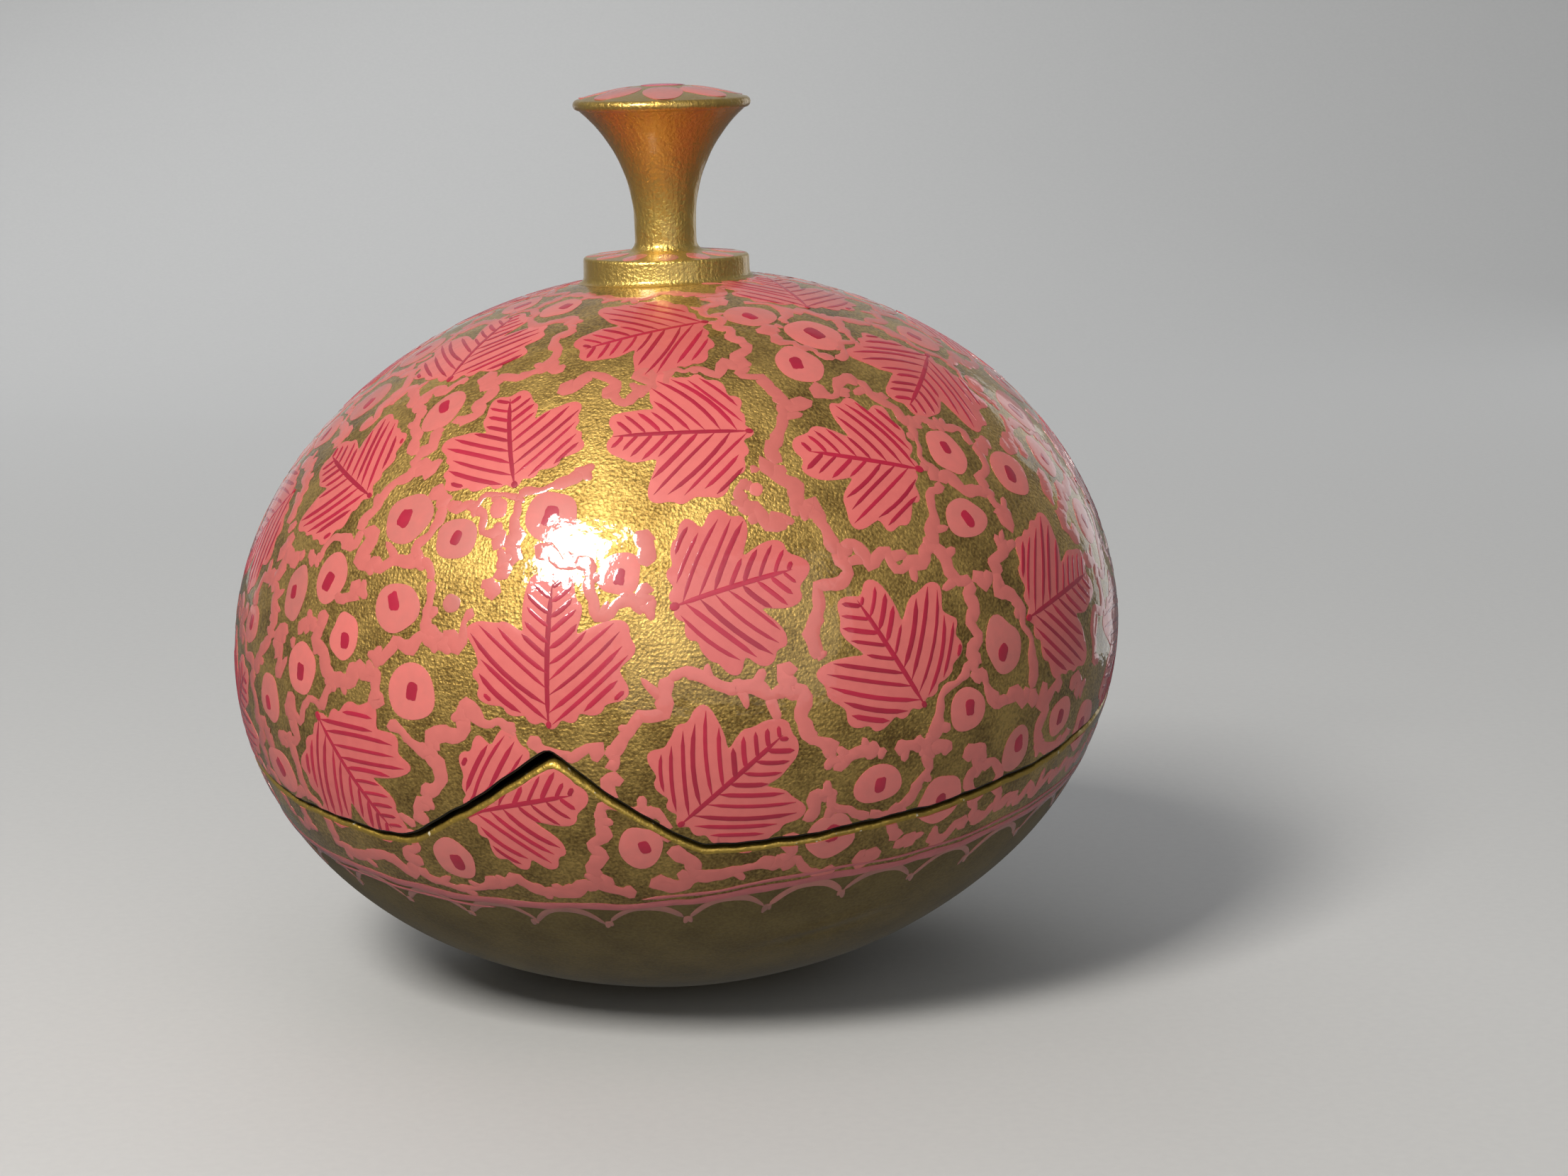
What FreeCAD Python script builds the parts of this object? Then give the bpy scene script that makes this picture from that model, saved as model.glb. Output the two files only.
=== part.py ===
"""A keepsake box made from a gourd: a bowl, a lid, and the turned wooden knob that lifts the lid, held
by a peg. The gourd is cut in two along a slanted line with one gable-shaped tooth at the front, which
drops into a notch in the lid, so that the lid fits in one position only.

Millimetres, +Z up. The origin is the middle of the flat foot, on the surface that the box stands on,
and the knob stands on the Z axis. The front, with the tooth, faces -Y.
"""

import FreeCAD, Part
import os
from math import atan2, cos, hypot, radians, sin, tan

from FreeCAD import Matrix, Placement, Rotation, Vector

# The gourd: two half ellipsoids on one equator, leaning a little, as natural gourds do.
BODY_RADIUS = 65.0
CROWN_RISE = 53.5
BELLY_DEPTH = 50.8
WALL = 4.0
LEAN_DEG = 4.0
FOOT_SANDED_OFF = 1.8

# The cut between bowl and lid: a slanted plane, measured down from the equator at the front and back.
# The lid sits tight at the back and gapes at the front.
SEAM_FRONT_DROP = 19.0
SEAM_BACK_DROP = -0.2
SEAM_SIDE_RISE = 3.0
GAP_FRONT = 0.6
GAP_BACK = 0.06

# The tooth on the bowl's rim, from outside: its two feet beside its tip, and its rounded corners.
TOOTH_AZIMUTH_DEG = -105.3
TOOTH_LEFT_FOOT = 22.5
TOOTH_RIGHT_FOOT = 18.5
TOOTH_RISE = 14.6
TOOTH_TIP_RADIUS = 2.0
TOOTH_FOOT_RADIUS = 8.0
NOTCH_LEFT_CLEARANCE = 0.55
NOTCH_RIGHT_CLEARANCE = 0.08

# The turned knob: a collar hollowed to sit on the crown, a waisted stem, and a flared, domed head.
COLLAR_RADIUS = 12.1
COLLAR_HEIGHT = 2.45
COLLAR_EDGE_ROUND = 0.5
COLLAR_DOME = 0.6
COVE_RADIUS = 1.4
STEM_RADIUS = 4.5
STEM_LENGTH = 2.6
FLARE_HEIGHT = 16.4
HEAD_RADIUS = 12.9
HEAD_BAND = 1.6
HEAD_DOME = 1.75

# The peg, glued into the knob's socket and through the hole in the crown.
PEG_RADIUS = 2.5
PEG_IN_KNOB = 6.0
PEG_BELOW_WALL = 1.0
GLUE_GAP = 0.08
SOCKET_SPARE_DEPTH = 0.5

BODY_CENTRE_Z = BELLY_DEPTH - FOOT_SANDED_OFF
CUTTER_SIZE = 4.0 * BODY_RADIUS


def line(start, end):
    return Part.LineSegment(start, end).toShape()


def arc(start, middle, end):
    return Part.Arc(start, middle, end).toShape()


def turned(edges):
    """A closed outline in the XZ plane, turned about the Z axis into a solid."""
    face = Part.Face(Part.Wire(edges))
    return face.revolve(Vector(0, 0, 0), Vector(0, 0, 1), 360)


def half_ellipsoid(radius, rise):
    """Half of an ellipsoid on the plane z = 0: a half ball stretched to its height. It lies above the
    plane where rise is positive and below it elsewhere."""
    low_deg, high_deg = (0, 90) if rise > 0 else (-90, 0)
    ball = Part.makeSphere(radius, Vector(0, 0, 0), Vector(0, 0, 1), low_deg, high_deg, 360)
    stretch = Matrix()
    stretch.scale(1, 1, abs(rise) / radius)
    return ball.transformGeometry(stretch)


def gourd(inset):
    """The gourd's outer form as one solid, or its hollow when inset by the wall. The line where the
    turned surface closes is brought to the back, clear of the peg hole."""
    crown = half_ellipsoid(BODY_RADIUS - inset, CROWN_RISE - inset)
    belly = half_ellipsoid(BODY_RADIUS - inset, inset - BELLY_DEPTH)
    whole = crown.fuse(belly)
    whole.rotate(Vector(0, 0, 0), Vector(0, 0, 1), 90)
    whole.rotate(Vector(0, 0, 0), Vector(0, 1, 0), -LEAN_DEG)
    whole.translate(Vector(0, 0, BODY_CENTRE_Z))
    return whole


def slab(low_z, high_z):
    """A block wider than the box, between two heights."""
    half = CUTTER_SIZE / 2
    return Part.makeBox(CUTTER_SIZE, CUTTER_SIZE, high_z - low_z, Vector(-half, -half, low_z))


def rounded_outline(points, radii):
    """Edges of a closed polygon with corners rounded by tangent arcs; a radius of 0 leaves one sharp."""
    corners = []
    for i, corner in enumerate(points):
        if radii[i] == 0:
            corners.append((corner, corner, None))
            continue
        before = (points[i - 1] - corner).normalize()
        after = (points[(i + 1) % len(points)] - corner).normalize()
        half = before.getAngle(after) / 2
        inward = (before + after).normalize()
        start = corner + before * (radii[i] / tan(half))
        end = corner + after * (radii[i] / tan(half))
        middle = corner + inward * (radii[i] / sin(half) - radii[i])
        corners.append((start, end, middle))
    edges = []
    for i, (start, end, middle) in enumerate(corners):
        if middle:
            edges.append(arc(start, middle, end))
        edges.append(line(end, corners[(i + 1) % len(corners)][0]))
    return edges


def tooth_prism(left_clearance, right_clearance):
    """The gable tooth as a prism that runs outwards from the axis, standing on the plane z = 0.
    Each flank is moved out by its clearance, and the tip is where the moved flanks meet."""
    left_slope, right_slope = TOOTH_RISE / TOOTH_LEFT_FOOT, TOOTH_RISE / TOOTH_RIGHT_FOOT
    left_lift = left_clearance * hypot(1, left_slope)
    right_lift = right_clearance * hypot(1, right_slope)
    tip_shift = (right_lift - left_lift) / (left_slope + right_slope)
    tip_height = TOOTH_RISE + left_lift + left_slope * tip_shift
    left_foot = TOOTH_LEFT_FOOT + left_lift / left_slope
    right_foot = TOOTH_RIGHT_FOOT + right_lift / right_slope
    apron = 2 * TOOTH_FOOT_RADIUS
    points = [
        Vector(0, -left_foot - apron, 0),
        Vector(0, -left_foot, 0),
        Vector(0, tip_shift, tip_height),
        Vector(0, right_foot, 0),
        Vector(0, right_foot + apron, 0),
        Vector(0, right_foot + apron, -apron),
        Vector(0, -left_foot - apron, -apron),
    ]
    radii = [0, TOOTH_FOOT_RADIUS, TOOTH_TIP_RADIUS, TOOTH_FOOT_RADIUS, 0, 0, 0]
    face = Part.Face(Part.Wire(rounded_outline(points, radii)))
    prism = face.extrude(Vector(CUTTER_SIZE / 2, 0, 0))
    prism.rotate(Vector(0, 0, 0), Vector(0, 0, 1), TOOTH_AZIMUTH_DEG)
    return prism


def below_seam(front_gap, back_gap, left_clearance, right_clearance):
    """Everything under the slanted cut, with the tooth standing on it."""
    front_z = BODY_CENTRE_Z - SEAM_FRONT_DROP + front_gap
    back_z = BODY_CENTRE_Z - SEAM_BACK_DROP + back_gap
    back_slope = (back_z - front_z) / (2 * BODY_RADIUS)
    side_slope = SEAM_SIDE_RISE / BODY_RADIUS
    under = slab(-CUTTER_SIZE, 0).fuse(tooth_prism(left_clearance, right_clearance))
    tilt = Rotation(Vector(0, 0, 1), Vector(-side_slope, -back_slope, 1))
    under.Placement = Placement(Vector(0, 0, (front_z + back_z) / 2), tilt)
    return under


def make_bowl():
    shell = gourd(0).cut(gourd(WALL)).cut(slab(-CUTTER_SIZE, 0))
    return shell.common(below_seam(0, 0, 0, 0))


def crown_z(inset):
    """Height on the Z axis of the gourd's outer surface, or of its inner one when inset by the wall."""
    lean = radians(LEAN_DEG)
    return BODY_CENTRE_Z + 1 / hypot(cos(lean) / (CROWN_RISE - inset), sin(lean) / (BODY_RADIUS - inset))


def make_lid():
    notched = below_seam(GAP_FRONT, GAP_BACK, NOTCH_LEFT_CLEARANCE, NOTCH_RIGHT_CLEARANCE)
    past_crown = CROWN_RISE + COLLAR_HEIGHT
    peg_hole = Part.makeCylinder(PEG_RADIUS + GLUE_GAP, past_crown, Vector(0, 0, BODY_CENTRE_Z))
    return gourd(0).cut(gourd(WALL)).cut(notched).cut(peg_hole)


def flare(start, end):
    """A tangent arc that leaves start straight up and swings out to end."""
    out, up = end.x - start.x, end.z - start.z
    radius = (out**2 + up**2) / (2 * out)
    half_turn = atan2(up, radius - out) / 2
    middle = start + Vector(radius * (1 - cos(half_turn)), 0, radius * sin(half_turn))
    return arc(start, middle, end)


def dome(edge, apex):
    """A shallow arc from an edge up to an apex on the axis, where it runs level."""
    rise = apex.z - edge.z
    radius = (edge.x**2 + rise**2) / (2 * rise)
    half_turn = atan2(edge.x, radius - rise) / 2
    middle = apex + Vector(radius * sin(half_turn), 0, -radius * (1 - cos(half_turn)))
    return arc(edge, middle, apex)


def make_knob():
    """The knob's profile, turned, then hollowed below to the crown's curve and bored for the peg."""
    collar_z = crown_z(0) + COLLAR_HEIGHT
    cove_centre = Vector(STEM_RADIUS + COVE_RADIUS, 0, collar_z + COLLAR_DOME + COVE_RADIUS)
    diagonal = Vector(-cos(radians(45)), 0, -sin(radians(45)))
    stem_top = Vector(STEM_RADIUS, 0, cove_centre.z + STEM_LENGTH)
    band = HEAD_BAND / 2
    head_low = Vector(HEAD_RADIUS - band, 0, stem_top.z + FLARE_HEIGHT)
    head_middle = head_low + Vector(band, 0, band)
    head_high = head_low + Vector(0, 0, HEAD_BAND)
    apex = Vector(0, 0, head_high.z + HEAD_DOME)
    edge_centre = Vector(COLLAR_RADIUS - COLLAR_EDGE_ROUND, 0, collar_z - COLLAR_EDGE_ROUND)
    edge_low = edge_centre + Vector(COLLAR_EDGE_ROUND, 0, 0)
    edge_middle = edge_centre + Vector(-diagonal.x, 0, -diagonal.z) * COLLAR_EDGE_ROUND
    edge_high = edge_centre + Vector(0, 0, COLLAR_EDGE_ROUND)
    cove_low = cove_centre - Vector(0, 0, COVE_RADIUS)
    cove_middle = cove_centre + diagonal * COVE_RADIUS
    cove_high = cove_centre - Vector(COVE_RADIUS, 0, 0)
    blank_corner = Vector(COLLAR_RADIUS, 0, BODY_CENTRE_Z)
    blank_middle = Vector(0, 0, BODY_CENTRE_Z)
    knob = turned(
        [
            line(blank_middle, blank_corner),
            line(blank_corner, edge_low),
            arc(edge_low, edge_middle, edge_high),
            line(edge_high, cove_low),
            arc(cove_low, cove_middle, cove_high),
            line(cove_high, stem_top),
            flare(stem_top, head_low),
            arc(head_low, head_middle, head_high),
            dome(head_high, apex),
            line(apex, blank_middle),
        ]
    )
    socket_top = crown_z(0) + PEG_IN_KNOB + SOCKET_SPARE_DEPTH
    socket = Part.makeCylinder(
        PEG_RADIUS + GLUE_GAP, socket_top - BODY_CENTRE_Z, Vector(0, 0, BODY_CENTRE_Z)
    )
    return knob.cut(gourd(0)).cut(socket)


def make_knob_peg():
    low = crown_z(WALL) - PEG_BELOW_WALL
    return Part.makeCylinder(PEG_RADIUS, crown_z(0) + PEG_IN_KNOB - low, Vector(0, 0, low))


def export(node, shape):
    solids = shape.Solids
    if len(solids) != 1 or not solids[0].isValid() or not solids[0].isClosed():
        raise ValueError(f"{node} isn't one closed, valid solid")
    solids[0].exportStep(os.path.join("parts", node + ".step"))
    box = solids[0].optimalBoundingBox()
    spans = ", ".join(
        f"{axis} {low:.2f} to {high:.2f}"
        for axis, low, high in zip("xyz", (box.XMin, box.YMin, box.ZMin), (box.XMax, box.YMax, box.ZMax))
    )
    print(f"{node}: {solids[0].Volume / 1000:.2f} cm3, {spans}")


def main():
    os.makedirs("parts", exist_ok=True)
    export("bowl", make_bowl())
    export("lid", make_lid())
    export("knob", make_knob())
    export("knob_peg", make_knob_peg())


main()
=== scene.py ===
# %% [markdown]
# # A painted gourd box
# The box is a dried gourd, cut in two along a slanted line with one tooth, coated with a white ground,
# painted gold, covered with pink leaves, blossoms and vines, and lacquered until it shines.
# The model follows the same order: the gourd's form as a formula, the two shells, the turned knob, and
# then the brushwork, which lies on the form as thin raised paint. Lengths are in millimetres until a mesh
# is made.

import bmesh
import bpy
import numpy as np
from mathutils import Matrix, Vector


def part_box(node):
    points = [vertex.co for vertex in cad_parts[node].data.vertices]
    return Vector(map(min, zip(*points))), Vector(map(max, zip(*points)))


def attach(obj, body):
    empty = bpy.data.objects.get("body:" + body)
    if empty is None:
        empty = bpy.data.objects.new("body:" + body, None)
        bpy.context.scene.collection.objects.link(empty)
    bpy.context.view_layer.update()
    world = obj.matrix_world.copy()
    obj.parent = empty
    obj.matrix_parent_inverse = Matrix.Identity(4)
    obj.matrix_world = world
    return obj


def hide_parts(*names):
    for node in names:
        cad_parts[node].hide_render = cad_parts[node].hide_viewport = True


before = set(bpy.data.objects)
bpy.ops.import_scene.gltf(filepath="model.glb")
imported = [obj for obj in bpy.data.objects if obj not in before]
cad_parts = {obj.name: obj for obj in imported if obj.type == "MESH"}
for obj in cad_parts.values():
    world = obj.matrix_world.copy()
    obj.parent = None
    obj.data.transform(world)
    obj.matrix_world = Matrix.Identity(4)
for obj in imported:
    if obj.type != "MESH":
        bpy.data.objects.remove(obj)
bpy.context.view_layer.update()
scene = bpy.context.scene

scene.view_settings.view_transform = "Standard"

MM = 0.001
TURN = 2 * np.pi


def box_mm(node):
    """The lowest and highest corner of a solid in the frame, in millimetres."""
    low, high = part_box(node)
    return np.array(low) / MM, np.array(high) / MM


lid_low, lid_high = box_mm("lid")
knob_low, knob_high = box_mm("knob")
peg_high = box_mm("knob_peg")[1]
print("lid", lid_low.round(2), lid_high.round(2))
print("knob", knob_low.round(2), knob_high.round(2))

# %% [markdown]
# ## The camera first
# A long lens from just above the table keeps the round body free of stretching. Its height, turn and tilt
# are set as angles, so that the box sits a little left of the middle and leans as a hand-held camera does.

# %% Camera
CAMERA_DISTANCE = 507.1
CAMERA_HEIGHT = 144.5
CAMERA_DOWN, CAMERA_RIGHT, CAMERA_ROLL = np.radians((9.99, 1.77, 1.74))
LENS = 80.0


def add_camera():
    """Looks forwards from the front. The view turns right by one angle and then down by another, and the
    roll turns the right and up directions about the view."""
    cos_d, sin_d = np.cos(CAMERA_DOWN), np.sin(CAMERA_DOWN)
    cos_r, sin_r = np.cos(CAMERA_RIGHT), np.sin(CAMERA_RIGHT)
    forward = np.array([sin_r, cos_r * cos_d, -cos_r * sin_d])
    right = np.array([cos_r, -sin_r * cos_d, sin_r * sin_d])
    up = np.cross(right, forward)
    rolled_right = right * np.cos(CAMERA_ROLL) - up * np.sin(CAMERA_ROLL)
    rolled_up = right * np.sin(CAMERA_ROLL) + up * np.cos(CAMERA_ROLL)
    camera = bpy.data.objects.new("camera", bpy.data.cameras.new("camera"))
    scene.collection.objects.link(camera)
    camera.data.lens = LENS
    camera.data.clip_start = 0.01
    place = Matrix((rolled_right, rolled_up, -forward)).transposed().to_4x4()
    place.translation = Vector((0, -CAMERA_DISTANCE, CAMERA_HEIGHT)) * MM
    camera.matrix_world = place
    scene.camera = camera


add_camera()

# %% [markdown]
# ## Colour and nodes
# Paint colours are easiest to judge as sRGB hex values, and the shaders want them linear, so one function
# turns them. Another adds a node with its settings and its links, and every finish below is built from it.


# %% Colour and node helpers
def paint(hex_code):
    """An sRGB hex colour as linear red, green, blue and alpha: the sRGB curve undone."""
    srgb = np.array([int(hex_code[i : i + 2], 16) for i in (1, 3, 5)]) / 255
    linear = np.where(srgb <= 0.04045, srgb / 12.92, ((srgb + 0.055) / 1.055) ** 2.4)
    return (*linear.tolist(), 1.0)


def add_node(tree, kind, links=None, inputs=None, **settings):
    """A node of one kind. settings are its own properties, inputs are the values of its sockets, and
    links name the socket that feeds each of its inputs."""
    made = tree.nodes.new(kind)
    for name, value in settings.items():
        setattr(made, name, value)
    for name, value in (inputs or {}).items():
        made.inputs[name].default_value = value
    for name, source in (links or {}).items():
        tree.links.new(source, made.inputs[name])
    return made


def grain(millimetres):
    """The scale of a noise whose spots are this many millimetres across, on coordinates in metres."""
    return 1 / (millimetres * MM)


def new_finish(name):
    """A material with an empty tree, its output and a coordinate node on the object's own axes."""
    material = bpy.data.materials.new(name)
    material.use_nodes = True
    tree = material.node_tree
    tree.nodes.clear()
    output = add_node(tree, "ShaderNodeOutputMaterial")
    where = add_node(tree, "ShaderNodeTexCoord").outputs["Object"]
    return material, tree, output, where


# %% [markdown]
# ## The clear lacquer
# Everything outside is under several brushed coats of clear lacquer. It gives a hard, wet-looking
# highlight, and because it was brushed over thick paint it isn't flat: it dips and swells every few
# millimetres, which tears the edge of a highlight. So each finish has a coat with its own normal, from
# broad swells, small dimples and fine brush ridges, and the finish below it has a coarser one.


# %% Lacquer
SWELL, DIMPLE, RIDGE = 5.0, 1.3, 0.5


def lacquer_normal(tree, where, strength=1.0):
    """The lacquer's normal: the sum of swells and dimples as heights, given to a bump node."""
    swell = add_node(
        tree, "ShaderNodeTexNoise", {"Vector": where}, {"Scale": grain(SWELL), "Detail": 1.0}
    )
    dimple = add_node(
        tree, "ShaderNodeTexNoise", {"Vector": where}, {"Scale": grain(DIMPLE), "Detail": 2.0}
    )
    broad = add_node(
        tree,
        "ShaderNodeBump",
        {"Height": swell.outputs["Fac"]},
        {"Strength": 0.55 * strength, "Distance": 0.30 * MM},
    )
    return add_node(
        tree,
        "ShaderNodeBump",
        {"Height": dimple.outputs["Fac"], "Normal": broad.outputs["Normal"]},
        {"Strength": 0.5 * strength, "Distance": 0.10 * MM},
    ).outputs["Normal"]


# %% [markdown]
# ## Gold paint
# The ground is bronze powder in a binder, laid on thickly. Its flakes make a crumpled skin with a grain of
# about half a millimetre, that glints where it faces the light and looks olive where it doesn't. A metal
# with a warm colour, a medium roughness and a strong fine bump does that. The grain is drawn a little
# coarser than it is, so that it shows.

# %% Gold finish
GOLD_GRAIN = 0.42


def gold_finish(name, light, dark, rough, bump, brush_rise, metal=0.92, coat=1.0, coat_rough=0.06):
    """Bronze paint: two golds mixed by a blotchy noise, a grain bump, and brush marks along the belly."""
    material, tree, output, where = new_finish(name)
    blotch = add_node(
        tree, "ShaderNodeTexNoise", {"Vector": where}, {"Scale": grain(7), "Detail": 3.0}
    )
    speck = add_node(
        tree, "ShaderNodeTexNoise", {"Vector": where}, {"Scale": grain(GOLD_GRAIN), "Detail": 2.0}
    )
    both = add_node(
        tree,
        "ShaderNodeMath",
        {0: blotch.outputs["Fac"], 1: speck.outputs["Fac"]},
        operation="ADD",
    )
    ramp = add_node(tree, "ShaderNodeValToRGB")
    tree.links.new(
        add_node(
            tree, "ShaderNodeMath", {0: both.outputs[0]}, {1: 0.5}, operation="MULTIPLY"
        ).outputs[0],
        ramp.inputs["Fac"],
    )
    ramp.color_ramp.elements[0].position = 0.36
    ramp.color_ramp.elements[0].color = paint(dark)
    ramp.color_ramp.elements[1].position = 0.62
    ramp.color_ramp.elements[1].color = paint(light)
    along = add_node(
        tree,
        "ShaderNodeMapping",
        {"Vector": where},
        {"Scale": (0.22, 0.22, 1.0)},
    )
    brushed = add_node(
        tree,
        "ShaderNodeTexNoise",
        {"Vector": along.outputs["Vector"]},
        {"Scale": grain(RIDGE), "Detail": 2.0},
    )
    flakes = add_node(
        tree, "ShaderNodeTexVoronoi", {"Vector": where}, {"Scale": grain(GOLD_GRAIN)}
    )
    ridges = add_node(
        tree,
        "ShaderNodeBump",
        {"Height": brushed.outputs["Fac"]},
        {"Strength": brush_rise, "Distance": 0.10 * MM},
    )
    grained = add_node(
        tree,
        "ShaderNodeBump",
        {"Height": speck.outputs["Fac"], "Normal": ridges.outputs["Normal"]},
        {"Strength": bump, "Distance": 0.14 * MM},
    )
    chipped = add_node(
        tree,
        "ShaderNodeBump",
        {"Height": flakes.outputs["Distance"], "Normal": grained.outputs["Normal"]},
        {"Strength": bump * 0.6, "Distance": 0.09 * MM},
    )
    shader = add_node(
        tree,
        "ShaderNodeBsdfPrincipled",
        {
            "Base Color": ramp.outputs["Color"],
            "Normal": chipped.outputs["Normal"],
            "Coat Normal": lacquer_normal(tree, where),
        },
        {"Metallic": metal, "Roughness": rough, "Coat Weight": coat, "Coat Roughness": coat_rough},
    )
    tree.links.new(shader.outputs["BSDF"], output.inputs["Surface"])
    return material


bronze_paint = gold_finish("bronze_powder_paint", "#E4BF6C", "#8F7034", 0.55, 1.0, 0.8)
plain_bronze = gold_finish("plain_bronze_wash", "#7E6C3E", "#67562F", 0.5, 0.16, 0.4, 0.45, 0.2, 0.25)

# %% [markdown]
# ## Brush paint
# The pinks and the crimson are gouache: dense, chalky and slightly uneven, because each dab carried a
# different load of water. Every motif has its own tone, a number kept on the mesh, and a fine noise adds
# the streaks inside a stroke.


# %% Brush-paint finishes
def gouache(name, fresh, thin, bump=0.25):
    """Opaque paint under lacquer: two tones mixed by the motif's own tone and a streaky noise."""
    material, tree, output, where = new_finish(name)
    tone = add_node(tree, "ShaderNodeAttribute", attribute_name="tone")
    streak = add_node(
        tree, "ShaderNodeTexNoise", {"Vector": where}, {"Scale": grain(1.6), "Detail": 4.0}
    )
    scaled = add_node(
        tree,
        "ShaderNodeMath",
        {0: streak.outputs["Fac"], 1: tone.outputs["Fac"]},
        operation="ADD",
    )
    share = add_node(
        tree, "ShaderNodeMapRange", {"Value": scaled.outputs[0]}, {"From Min": 0.35, "From Max": 1.55}
    )
    mixed = add_node(
        tree,
        "ShaderNodeMix",
        {0: share.outputs["Result"]},
        {6: paint(fresh), 7: paint(thin)},
        data_type="RGBA",
    )
    relief = add_node(
        tree,
        "ShaderNodeBump",
        {"Height": streak.outputs["Fac"]},
        {"Strength": bump, "Distance": 0.10 * MM},
    )
    shader = add_node(
        tree,
        "ShaderNodeBsdfPrincipled",
        {
            "Base Color": mixed.outputs[2],
            "Normal": relief.outputs["Normal"],
            "Coat Normal": lacquer_normal(tree, where),
        },
        {"Roughness": 0.5, "Coat Weight": 1.0, "Coat Roughness": 0.06},
    )
    tree.links.new(shader.outputs["BSDF"], output.inputs["Surface"])
    return material


leaf_pink = gouache("leaf_pink_gouache", "#DD706A", "#CC605D")
blossom_pink = gouache("blossom_pink_gouache", "#DC736C", "#BE6D65")
vine_pink = gouache("vine_pink_gouache", "#D6716A", "#C0645C")
crimson = gouache("crimson_gouache", "#B8143A", "#9E1030", bump=0.15)

# %% [markdown]
# ## The gourd's form
# The body is two half ellipsoids that share an equator, leaning a few degrees, with a flat foot. A point
# on it is found by a direction from its centre: an azimuth round it and an elevation up or down. The
# reach along that direction has a closed formula, so every mesh and every brush stroke can ask for it.

# %% Form
BODY_RADIUS = (lid_high[1] - lid_low[1]) / 2
CROWN_RISE, BELLY_DEPTH, WALL = 53.5, 50.8, 4.0
LEAN = np.radians(4)
CENTRE = np.array([0, 0, 49.0])
UNEVEN = 0.12
CREASE_AT, CREASE_SIZE, CREASE_DEPTH = np.radians((-67, -35)), np.radians((8, 1.7)), 0.7


def direction(azimuth, elevation):
    """The unit vector at an azimuth and an elevation."""
    flat = np.cos(elevation)
    return np.stack([flat * np.cos(azimuth), flat * np.sin(azimuth), np.sin(elevation)], -1)


def reach(azimuth, elevation, inset=0.0):
    """Distance from the centre to the wall: 1 over the root of the direction's squares, each over the
    square of its half axis, in the leaning frame. The foot cuts it at the table, slow waves of a tenth
    of a millimetre make it hand-made, and one shallow crease, a step under a bell curve, marks the
    belly where the skin shrank as it dried."""
    x, y, z = np.moveaxis(direction(azimuth, elevation), -1, 0)
    leaning_x = x * np.cos(LEAN) + z * np.sin(LEAN)
    leaning_z = z * np.cos(LEAN) - x * np.sin(LEAN)
    half_height = np.where(leaning_z > 0, CROWN_RISE, BELLY_DEPTH) - inset
    flat = (leaning_x**2 + y**2) / (BODY_RADIUS - inset) ** 2
    wall = 1 / np.sqrt(flat + (leaning_z / half_height) ** 2)
    wave = np.sin(5 * azimuth + 3 * elevation) * np.sin(7 * elevation) * np.cos(elevation)
    across = (elevation - CREASE_AT[1] - 0.22 * np.sin(azimuth - CREASE_AT[0])) / CREASE_SIZE[1]
    along = np.angle(np.exp(1j * (azimuth - CREASE_AT[0]))) / CREASE_SIZE[0]
    wall = wall - UNEVEN * (1 + wave) + CREASE_DEPTH * across * np.exp(-(across**2) - along**2)
    return np.minimum(wall, CENTRE[2] / np.maximum(-np.sin(elevation), 1e-6))


def on_gourd(azimuth, elevation, lift=0.0, inset=0.0):
    """The point on the wall in that direction, lifted off it by a little."""
    return CENTRE + direction(azimuth, elevation) * (reach(azimuth, elevation, inset) + lift)[..., None]


def facing(points):
    """The azimuth and elevation of points, seen from the centre."""
    x, y, z = np.moveaxis(points - CENTRE, -1, 0)
    return np.arctan2(y, x), np.arctan2(z, np.hypot(x, y))


def crossing(height, low, high):
    """Where height(elevation) turns from negative to positive, by halving the range forty times."""
    for _ in range(40):
        middle = (low + high) / 2
        under = height(middle) < 0
        low, high = np.where(under, middle, low), np.where(under, high, middle)
    return (low + high) / 2


# %% [markdown]
# ## The seam
# A maker cuts a gourd freehand, and one tooth in the cut lets the lid find its place. The cut is a slanted
# plane plus a gable, the lower of its two flanks, that counts only on the front half. The lid's side of the
# cut is a little higher, so the lid gapes at the front and shows a dark line, which is widest at the tooth's
# tip, most of all on its left flank.

# %% Seam
SEAM_FRONT_DROP, SEAM_BACK_DROP, SEAM_SIDE_RISE = 19.0, -0.2, 3.0
GAPS = {"bowl": (0.0, 0.0), "lid": (0.6, 0.06)}
TOOTH_AZIMUTH = np.radians(-105.3)
TOOTH_LEFT, TOOTH_RIGHT, TOOTH_RISE = 22.5, 18.5, 14.6
CLEARANCES = {"bowl": (0.0, 0.0, 0.0), "lid": (0.2, 0.08, 0.75)}
RIGHT_SHARE = 0.4
TIP_ROUND, FOOT_ROUND = 0.9, 0.7


def soft_max(a, b, blend):
    """The larger of two values, with the corner between them rounded off."""
    return (a + b + np.sqrt((a - b) ** 2 + blend**2)) / 2


def seam_frame(side):
    """The cut's own origin and axes: its normal last, and the two others turned with it."""
    front = -SEAM_FRONT_DROP + GAPS[side][0]
    back = -SEAM_BACK_DROP + GAPS[side][1]
    normal = np.array([-SEAM_SIDE_RISE / BODY_RADIUS, -(back - front) / (2 * BODY_RADIUS), 1])
    turn = Vector((0, 0, 1)).rotation_difference(Vector(normal)).to_matrix()
    return CENTRE + [0, 0, (front + back) / 2], np.array(turn)


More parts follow.
